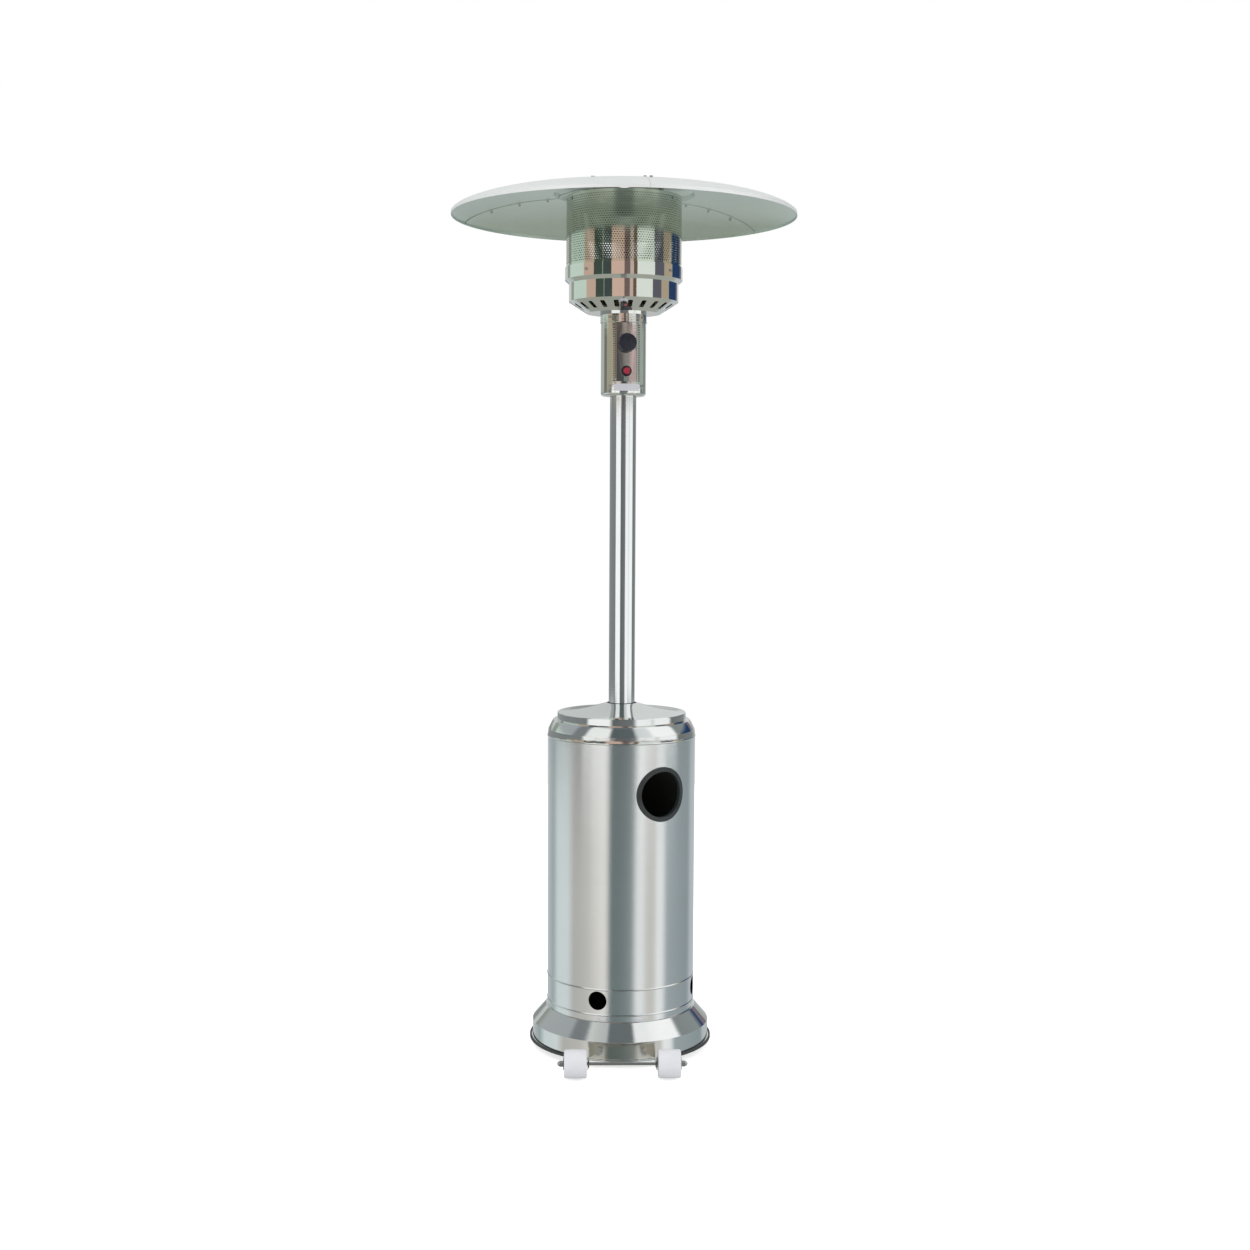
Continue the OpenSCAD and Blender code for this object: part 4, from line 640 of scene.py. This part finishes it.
def flatter_shoulder(mesh):
    """The shoulder's quarter curve, outer and inner, is pressed flatter towards a straight slope."""
    moved = 0
    for vertex in mesh.vertices:
        r = math.hypot(vertex.co.x, vertex.co.y)
        for inset in (0, SHOULDER_SHEET):
            across = (r - SHELF_R + inset) / CURVE_WIDTH
            up = (vertex.co.z - STEP_Z + inset) / CURVE_HEIGHT
            if across > 0.01 and up > 0.01 and abs(math.hypot(across, up) - 1) < CURVE_FIT:
                new_r = SHELF_R - inset + CURVE_WIDTH * across ** SHOULDER_POWER
                vertex.co.x *= new_r / r
                vertex.co.y *= new_r / r
                vertex.co.z = STEP_Z - inset + CURVE_HEIGHT * up ** SHOULDER_POWER
                moved += 1
                break
    mesh.update()
    print("shoulder corners moved", moved)


print("shoulder curve", CURVE_WIDTH, "by", CURVE_HEIGHT)

# %% [markdown]
# Now every round piece is copied, reshaped where needed, shaded by its true curve and handed over.

# %% Turned pieces
TURNED = [
    "base_skirt", "base_edge_trim", "tank_housing", "shoulder_ring", "top_cover", "pole_seal", "pole",
    "control_housing_front", "control_housing_rear", "head_collar", "bowl", "reflector_panel_1",
    "reflector_panel_2", "reflector_panel_3", "blank_plate", "hand_hole_trim_front", "hand_hole_trim_rear",
]
for node_name in TURNED:
    piece, body = finished_copy(node_name)
    if node_name == "top_cover":
        piece.data = swept_cover("swept_cover")
        paint_object(piece, slot_of[node_name])
    if node_name == "shoulder_ring":
        flatter_shoulder(piece.data)
    turned_normals(piece.data)
    if node_name in SECOND:
        second_finish(piece.data, *SECOND[node_name])
    hand_over(piece, body, node_name)
    print("turned", node_name, len(piece.data.polygons))

# %% [markdown]
# The control panel and the plate on it are pressed from flat sheet, and such sheet is never quite
# flat. A dead flat mirror would show one single colour, so the front's normals fan out by a few
# degrees from the middle to both edges, and the room's bands pass over it as on the real panel.


# %% Slightly bowed panel
FRONT_AZIMUTH = math.radians(8)
PANEL_HALF_W = 0.026
PANEL_BOW = math.radians(7)


def bowed_normals(mesh, outwards, half_width, bow):
    """Front faces of a thin flat sheet shade as if it were slightly bent outwards, as pressed sheet is."""
    aside = Vector((0, 0, 1)).cross(outwards)
    normals = []
    for face in mesh.polygons:
        front = face.normal.dot(outwards) > 0.99
        for vertex in face.vertices:
            part = mesh.vertices[vertex].co.dot(aside) / half_width
            turn = Matrix.Rotation(bow * part, 3, "Z") if front else Matrix.Identity(3)
            normals.append(tuple(turn @ face.normal))
    mesh.normals_split_custom_set(normals)


front_way = Vector((math.sin(FRONT_AZIMUTH), -math.cos(FRONT_AZIMUTH), 0))
for node_name in ("control_panel", "escutcheon"):
    piece, body = finished_copy(node_name)
    bowed_normals(piece.data, front_way, PANEL_HALF_W, PANEL_BOW)
    hand_over(piece, body, node_name)
    print("bowed", node_name, len(piece.data.polygons))

# %% [markdown]
# Geometry Nodes make what repeats. A short helper adds nodes to a node group by type and fills
# their inputs by name, so that the tree below reads from top to bottom like a recipe.


# %% Geometry node helper
class Recipe:
    """A Geometry Nodes group with named inputs, built step by step."""

    def __init__(self, name, inputs):
        self.group = bpy.data.node_groups.new(name, "GeometryNodeTree")
        self.group.interface.new_socket("Geometry", in_out="INPUT", socket_type="NodeSocketGeometry")
        self.group.interface.new_socket("Geometry", in_out="OUTPUT", socket_type="NodeSocketGeometry")
        for key, kind in inputs.items():
            self.group.interface.new_socket(key, in_out="INPUT", socket_type=kind)
        self.start = self.group.nodes.new("NodeGroupInput")
        self.end = self.group.nodes.new("NodeGroupOutput")

    def given(self, key):
        return self.start.outputs[key]

    def add(self, kind, inputs=None, **options):
        node = self.group.nodes.new(kind)
        for key, value in options.items():
            setattr(node, key, value)
        for key, value in (inputs or {}).items():
            socket = node.inputs[key]
            if isinstance(value, bpy.types.NodeSocket):
                self.group.links.new(value, socket)
            else:
                socket.default_value = value
        return node

    def math(self, operation, a, b=0.0):
        return self.add("ShaderNodeMath", {0: a, 1: b}, operation=operation).outputs[0]

    def finish(self, geometry):
        self.group.links.new(geometry, self.end.inputs["Geometry"])
        return self.group

    def values(self, modifier, given):
        for item in self.group.interface.items_tree:
            if item.in_out == "INPUT" and item.name in given:
                modifier[item.identifier] = given[item.name]


def applied(item):
    """The object's mesh with its modifiers applied, in place of its first mesh."""
    graph = bpy.context.evaluated_depsgraph_get()
    mesh = bpy.data.meshes.new_from_object(item.evaluated_get(graph))
    item.modifiers.clear()
    item.data = mesh
    return mesh


def new_object(name, mesh=None):
    item = bpy.data.objects.new(name, mesh or bpy.data.meshes.new(name))
    scene.collection.objects.link(item)
    return item


print("recipe helper ready")

# %% [markdown]
# The emitter is a sheet punched with staggered holes. The number of rows follows from its height:
# as many as fit between a plain strip at the foot and a narrow one at the top.

# %% Emitter sizes
low_corner, high_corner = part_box("emitter_screen")
EMITTER_R = high_corner.x
SHEET_T = 0.0008
COLUMNS = 140
HOLE_SHARE = 0.52
PLAIN_LOW = 0.034
PLAIN_HIGH = 0.007
pitch = FULL_TURN * EMITTER_R / COLUMNS
row_step = pitch * math.sqrt(3) / 2
emitter_height = high_corner.z - low_corner.z
ROWS = int((emitter_height - PLAIN_LOW - PLAIN_HIGH) / row_step)
holes_height = (ROWS - 1) * row_step + pitch / math.sqrt(3)
plain_low = emitter_height - PLAIN_HIGH - holes_height
print("emitter radius", EMITTER_R, "rows", ROWS, "pitch", pitch)

# %% [markdown]
# One six-sided cell is made first: a filled ring of six corners, an inset made by an extrusion of no
# height, and its middle removed. What stays is a flat ring, the metal round one hole.

# %% One punched cell
recipe = Recipe("punched_sheet", {
    "Pitch": "NodeSocketFloat", "Row step": "NodeSocketFloat", "Columns": "NodeSocketInt",
    "Rows": "NodeSocketInt", "Hole share": "NodeSocketFloat", "Low edge": "NodeSocketFloat",
    "High edge": "NodeSocketFloat", "Radius": "NodeSocketFloat", "Foot": "NodeSocketFloat",
    "Material": "NodeSocketMaterial",
})
pitch_in, row_in, columns_in = recipe.given("Pitch"), recipe.given("Row step"), recipe.given("Columns")
side = recipe.math("DIVIDE", pitch_in, math.sqrt(3))
cell = recipe.add("GeometryNodeMeshCircle", {"Vertices": 6, "Radius": side}, fill_type="NGON")
upright = recipe.add("GeometryNodeTransform", {"Geometry": cell.outputs[0], "Rotation": (0, 0, math.pi / 6)})
inset = recipe.add("GeometryNodeExtrudeMesh", {"Mesh": upright.outputs[0], "Offset Scale": 0.0}, mode="FACES")
shrunk = recipe.add("GeometryNodeScaleElements", {
    "Geometry": inset.outputs["Mesh"], "Selection": inset.outputs["Top"], "Scale": recipe.given("Hole share")},
    domain="FACE")
cell_ring = recipe.add("GeometryNodeDeleteGeometry", {
    "Geometry": shrunk.outputs[0], "Selection": inset.outputs["Top"]}, domain="FACE")
print("cell nodes", len(recipe.group.nodes))

# %% [markdown]
# Copies of the cell stand on a grid whose every second row is half a step aside, so the cells close
# up like a honeycomb. The copies are made real, because an exported model can't hold instances.

# %% Staggered grid of cells
wide = recipe.math("MULTIPLY", pitch_in, recipe.math("SUBTRACT", columns_in, 1.0))
tall = recipe.math("MULTIPLY", row_in, recipe.math("SUBTRACT", recipe.given("Rows"), 1.0))
grid = recipe.add("GeometryNodeMeshGrid", {
    "Size X": wide, "Size Y": tall, "Vertices X": columns_in, "Vertices Y": recipe.given("Rows")})
place = recipe.add("ShaderNodeSeparateXYZ", {0: recipe.add("GeometryNodeInputPosition").outputs[0]})
from_low = recipe.math("ADD", place.outputs["Y"], recipe.math("MULTIPLY", tall, 0.5))
row = recipe.math("ROUND", recipe.math("DIVIDE", from_low, row_in))
aside = recipe.math("MULTIPLY", recipe.math("MODULO", row, 2.0), recipe.math("MULTIPLY", pitch_in, 0.5))
shift = recipe.add("ShaderNodeCombineXYZ", {"X": aside})
staggered = recipe.add("GeometryNodeSetPosition", {"Geometry": grid.outputs["Mesh"], "Offset": shift.outputs[0]})
cells = recipe.add("GeometryNodeInstanceOnPoints", {
    "Points": staggered.outputs[0], "Instance": cell_ring.outputs[0]})
real = recipe.add("GeometryNodeRealizeInstances", {"Geometry": cells.outputs[0]})
print("nodes with the grid", len(recipe.group.nodes))

# %% [markdown]
# The honeycomb ends in points at its foot and top. Their corners are held back onto two straight
# lines, and a plain strip joins each line, as the unpunched edge of the real sheet.

# %% Straight edges
place = recipe.add("ShaderNodeSeparateXYZ", {0: recipe.add("GeometryNodeInputPosition").outputs[0]})
reach = recipe.math("ADD", recipe.math("MULTIPLY", tall, 0.5), recipe.math("MULTIPLY", side, 0.5))
held = recipe.add("ShaderNodeClamp", {
    "Value": place.outputs["Y"], "Min": recipe.math("MULTIPLY", reach, -1.0), "Max": reach})
flat_point = recipe.add("ShaderNodeCombineXYZ", {"X": place.outputs["X"], "Y": held.outputs[0]})
trimmed = recipe.add("GeometryNodeSetPosition", {"Geometry": real.outputs[0], "Position": flat_point.outputs[0]})
strip_parts = [trimmed.outputs[0]]
for edge, sign in (("Low edge", -1.0), ("High edge", 1.0)):
    strip = recipe.add("GeometryNodeMeshGrid", {
        "Size X": recipe.math("MULTIPLY", pitch_in, columns_in), "Size Y": recipe.given(edge),
        "Vertices X": recipe.math("ADD", recipe.math("MULTIPLY", columns_in, 2.0), 1.0), "Vertices Y": 2})
    half_edge = recipe.math("MULTIPLY", recipe.given(edge), 0.5)
    middle = recipe.math("MULTIPLY", recipe.math("ADD", reach, half_edge), sign)
    moved = recipe.add("GeometryNodeTransform", {
        "Geometry": strip.outputs["Mesh"],
        "Translation": recipe.add("ShaderNodeCombineXYZ", {"Y": middle}).outputs[0]})
    strip_parts.append(moved.outputs[0])
joined = recipe.add("GeometryNodeJoinGeometry")
for part in strip_parts:
    recipe.group.links.new(part, joined.inputs[0])
print("strips", len(strip_parts) - 1)

# %% [markdown]
# The flat sheet is wrapped round the pole: its length becomes an angle, and sine and cosine put each
# corner on the circle. The seam closes because neighbouring corners are merged afterwards.

# %% Wrap round the pole
place = recipe.add("ShaderNodeSeparateXYZ", {0: recipe.add("GeometryNodeInputPosition").outputs[0]})
angle = recipe.math("DIVIDE", place.outputs["X"], recipe.given("Radius"))
lifted = recipe.math("ADD", recipe.math("ADD", place.outputs["Y"], reach),
                     recipe.math("ADD", recipe.given("Foot"), recipe.given("Low edge")))
to_front = recipe.math("MULTIPLY", recipe.given("Radius"), -1.0)
round_point = recipe.add("ShaderNodeCombineXYZ", {
    "X": recipe.math("MULTIPLY", recipe.math("SINE", angle), recipe.given("Radius")),
    "Y": recipe.math("MULTIPLY", recipe.math("COSINE", angle), to_front), "Z": lifted})
wrapped = recipe.add("GeometryNodeSetPosition", {
    "Geometry": joined.outputs[0], "Position": round_point.outputs[0]})
welded = recipe.add("GeometryNodeMergeByDistance", {"Geometry": wrapped.outputs[0], "Distance": 2e-5})
coloured = recipe.add("GeometryNodeSetMaterial", {
    "Geometry": welded.outputs[0], "Material": recipe.given("Material")})
recipe.finish(coloured.outputs[0])
print("nodes in the recipe", len(recipe.group.nodes))

# %% [markdown]
# The recipe runs on an empty object, a Solidify modifier gives the sheet its thickness, and both are
# turned into a plain mesh. Only then does it get its normals, its dark inside as painted shade and its place.

# %% Emitter
screen = new_object("emitter_screen_punched")
growth = screen.modifiers.new("punched", "NODES")
growth.node_group = recipe.group
recipe.values(growth, {
    "Pitch": pitch, "Row step": row_step, "Columns": COLUMNS, "Rows": ROWS, "Hole share": HOLE_SHARE,
    "Low edge": plain_low, "High edge": PLAIN_HIGH, "Radius": EMITTER_R, "Foot": low_corner.z,
    "Material": FINISH["emitter_steel"],
})
thick = screen.modifiers.new("sheet", "SOLIDIFY")
thick.thickness = SHEET_T
thick.offset = -1
applied(screen)
turned_normals(screen.data)
# The screen's inner faces take the painted shade.
second_finish(screen.data, EMITTER_INSIDE_PAINTED_SHADE, faces_pole)
hand_over(screen, "frame", "emitter_screen")
print("punched cells", COLUMNS, "x", ROWS, "faces", len(screen.data.polygons))

# %% [markdown]
# The wheels are moulded in white plastic. Each is one closed outline turned about its axle: a
# slightly crowned tread, rounded shoulders, a dished face with a raised rim and a hub.


# %% Wheel outline
TREAD_CROWN = 0.0006
SHOULDER_R = 0.0042
SHOULDER_STEPS = 6
DISH_DEPTH = 0.0042
RIM_W = 0.0055
HUB_R = 0.0098
BORE_R = 0.00415


def wheel_outline(half_width, radius):
    """Half of the outline, from the bore at the outer face to the middle of the tread, as (x, r)."""
    face, rim, floor_x = half_width, radius - SHOULDER_R, half_width - DISH_DEPTH
    points = [
        (face, BORE_R), (face, HUB_R - 0.0008), (face - 0.0008, HUB_R), (floor_x + 0.001, HUB_R + 0.0006),
        (floor_x, HUB_R + 0.002), (floor_x, rim - RIM_W - 0.0012), (floor_x + 0.0012, rim - RIM_W),
        (face - 0.0006, rim - RIM_W + 0.0008), (face, rim - RIM_W + 0.0016),
    ]
    for step in range(SHOULDER_STEPS + 1):
        bend = math.radians(90 * step / SHOULDER_STEPS)
        along = face - SHOULDER_R * (1 - math.cos(bend))
        points.append((along, rim + SHOULDER_R * math.sin(bend) - TREAD_CROWN))
    points.append((0.0, radius))
    return points


print("wheel shoulder", SHOULDER_R, "dish", DISH_DEPTH)

# %% [markdown]
# Eight thin ribs stand in each dished face, between the hub and the rim. Each is a stretched cube
# that is put above the axle, turned to its place and moved to the wheel.


# %% Wheel ribs
WHEEL_RIBS = 8
RIB_T = 0.0022
RIB_BACK = 0.0006


def add_ribs(mesh, centre, half_width, radius):
    """Ribs in both faces of a wheel that lies along X."""
    reach = radius - SHOULDER_R - RIM_W - HUB_R + 0.001
    for side_sign in (-1, 1):
        along = side_sign * (half_width - DISH_DEPTH / 2 - RIB_BACK)
        for k in range(WHEEL_RIBS):
            turn = Matrix.Rotation(FULL_TURN * k / WHEEL_RIBS, 3, "X")
            work = bmesh.new()
            work.from_mesh(mesh)
            made = bmesh.ops.create_cube(work, size=1.0)["verts"]
            bmesh.ops.scale(work, verts=made, vec=(DISH_DEPTH - 0.0008, RIB_T, reach))
            bmesh.ops.translate(work, verts=made, vec=(along, 0, HUB_R + reach / 2))
            bmesh.ops.rotate(work, verts=made, cent=(0, 0, 0), matrix=turn)
            bmesh.ops.translate(work, verts=made, vec=centre)
            work.to_mesh(mesh)
            work.free()


print("ribs in each face", WHEEL_RIBS)

# %% [markdown]
# Both wheels come from the same outline. Their place, width and diameter are read from the packed
# wheels' boxes, so they always fit the axle, and edges sharper than a set angle stay crisp.

# %% Wheels
WHEEL_SIDES = 72
CRISP_ANGLE = math.radians(32)

for name in ("wheel_left", "wheel_right"):
    low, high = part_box(name)
    centre, half_width, radius = (low + high) / 2, (high.x - low.x) / 2, (high.z - low.z) / 2
    half = wheel_outline(half_width, radius)
    outline = half + [(-x, r) for x, r in reversed(half[:-1])]
    mesh = lathe(name + "_moulded", outline, WHEEL_SIDES, lambda pair, angle: (
        centre.x + pair[0], centre.y + pair[1] * math.cos(angle), centre.z + pair[1] * math.sin(angle)))
    add_ribs(mesh, centre, half_width, radius)
    mesh.shade_smooth()
    mesh.set_sharp_from_angle(angle=CRISP_ANGLE)
    wheel = new_object(name + "_moulded", mesh)
    paint_object(wheel, slot_of[name])
    hand_over(wheel, name, name)
    print("wheel", name, len(mesh.polygons))
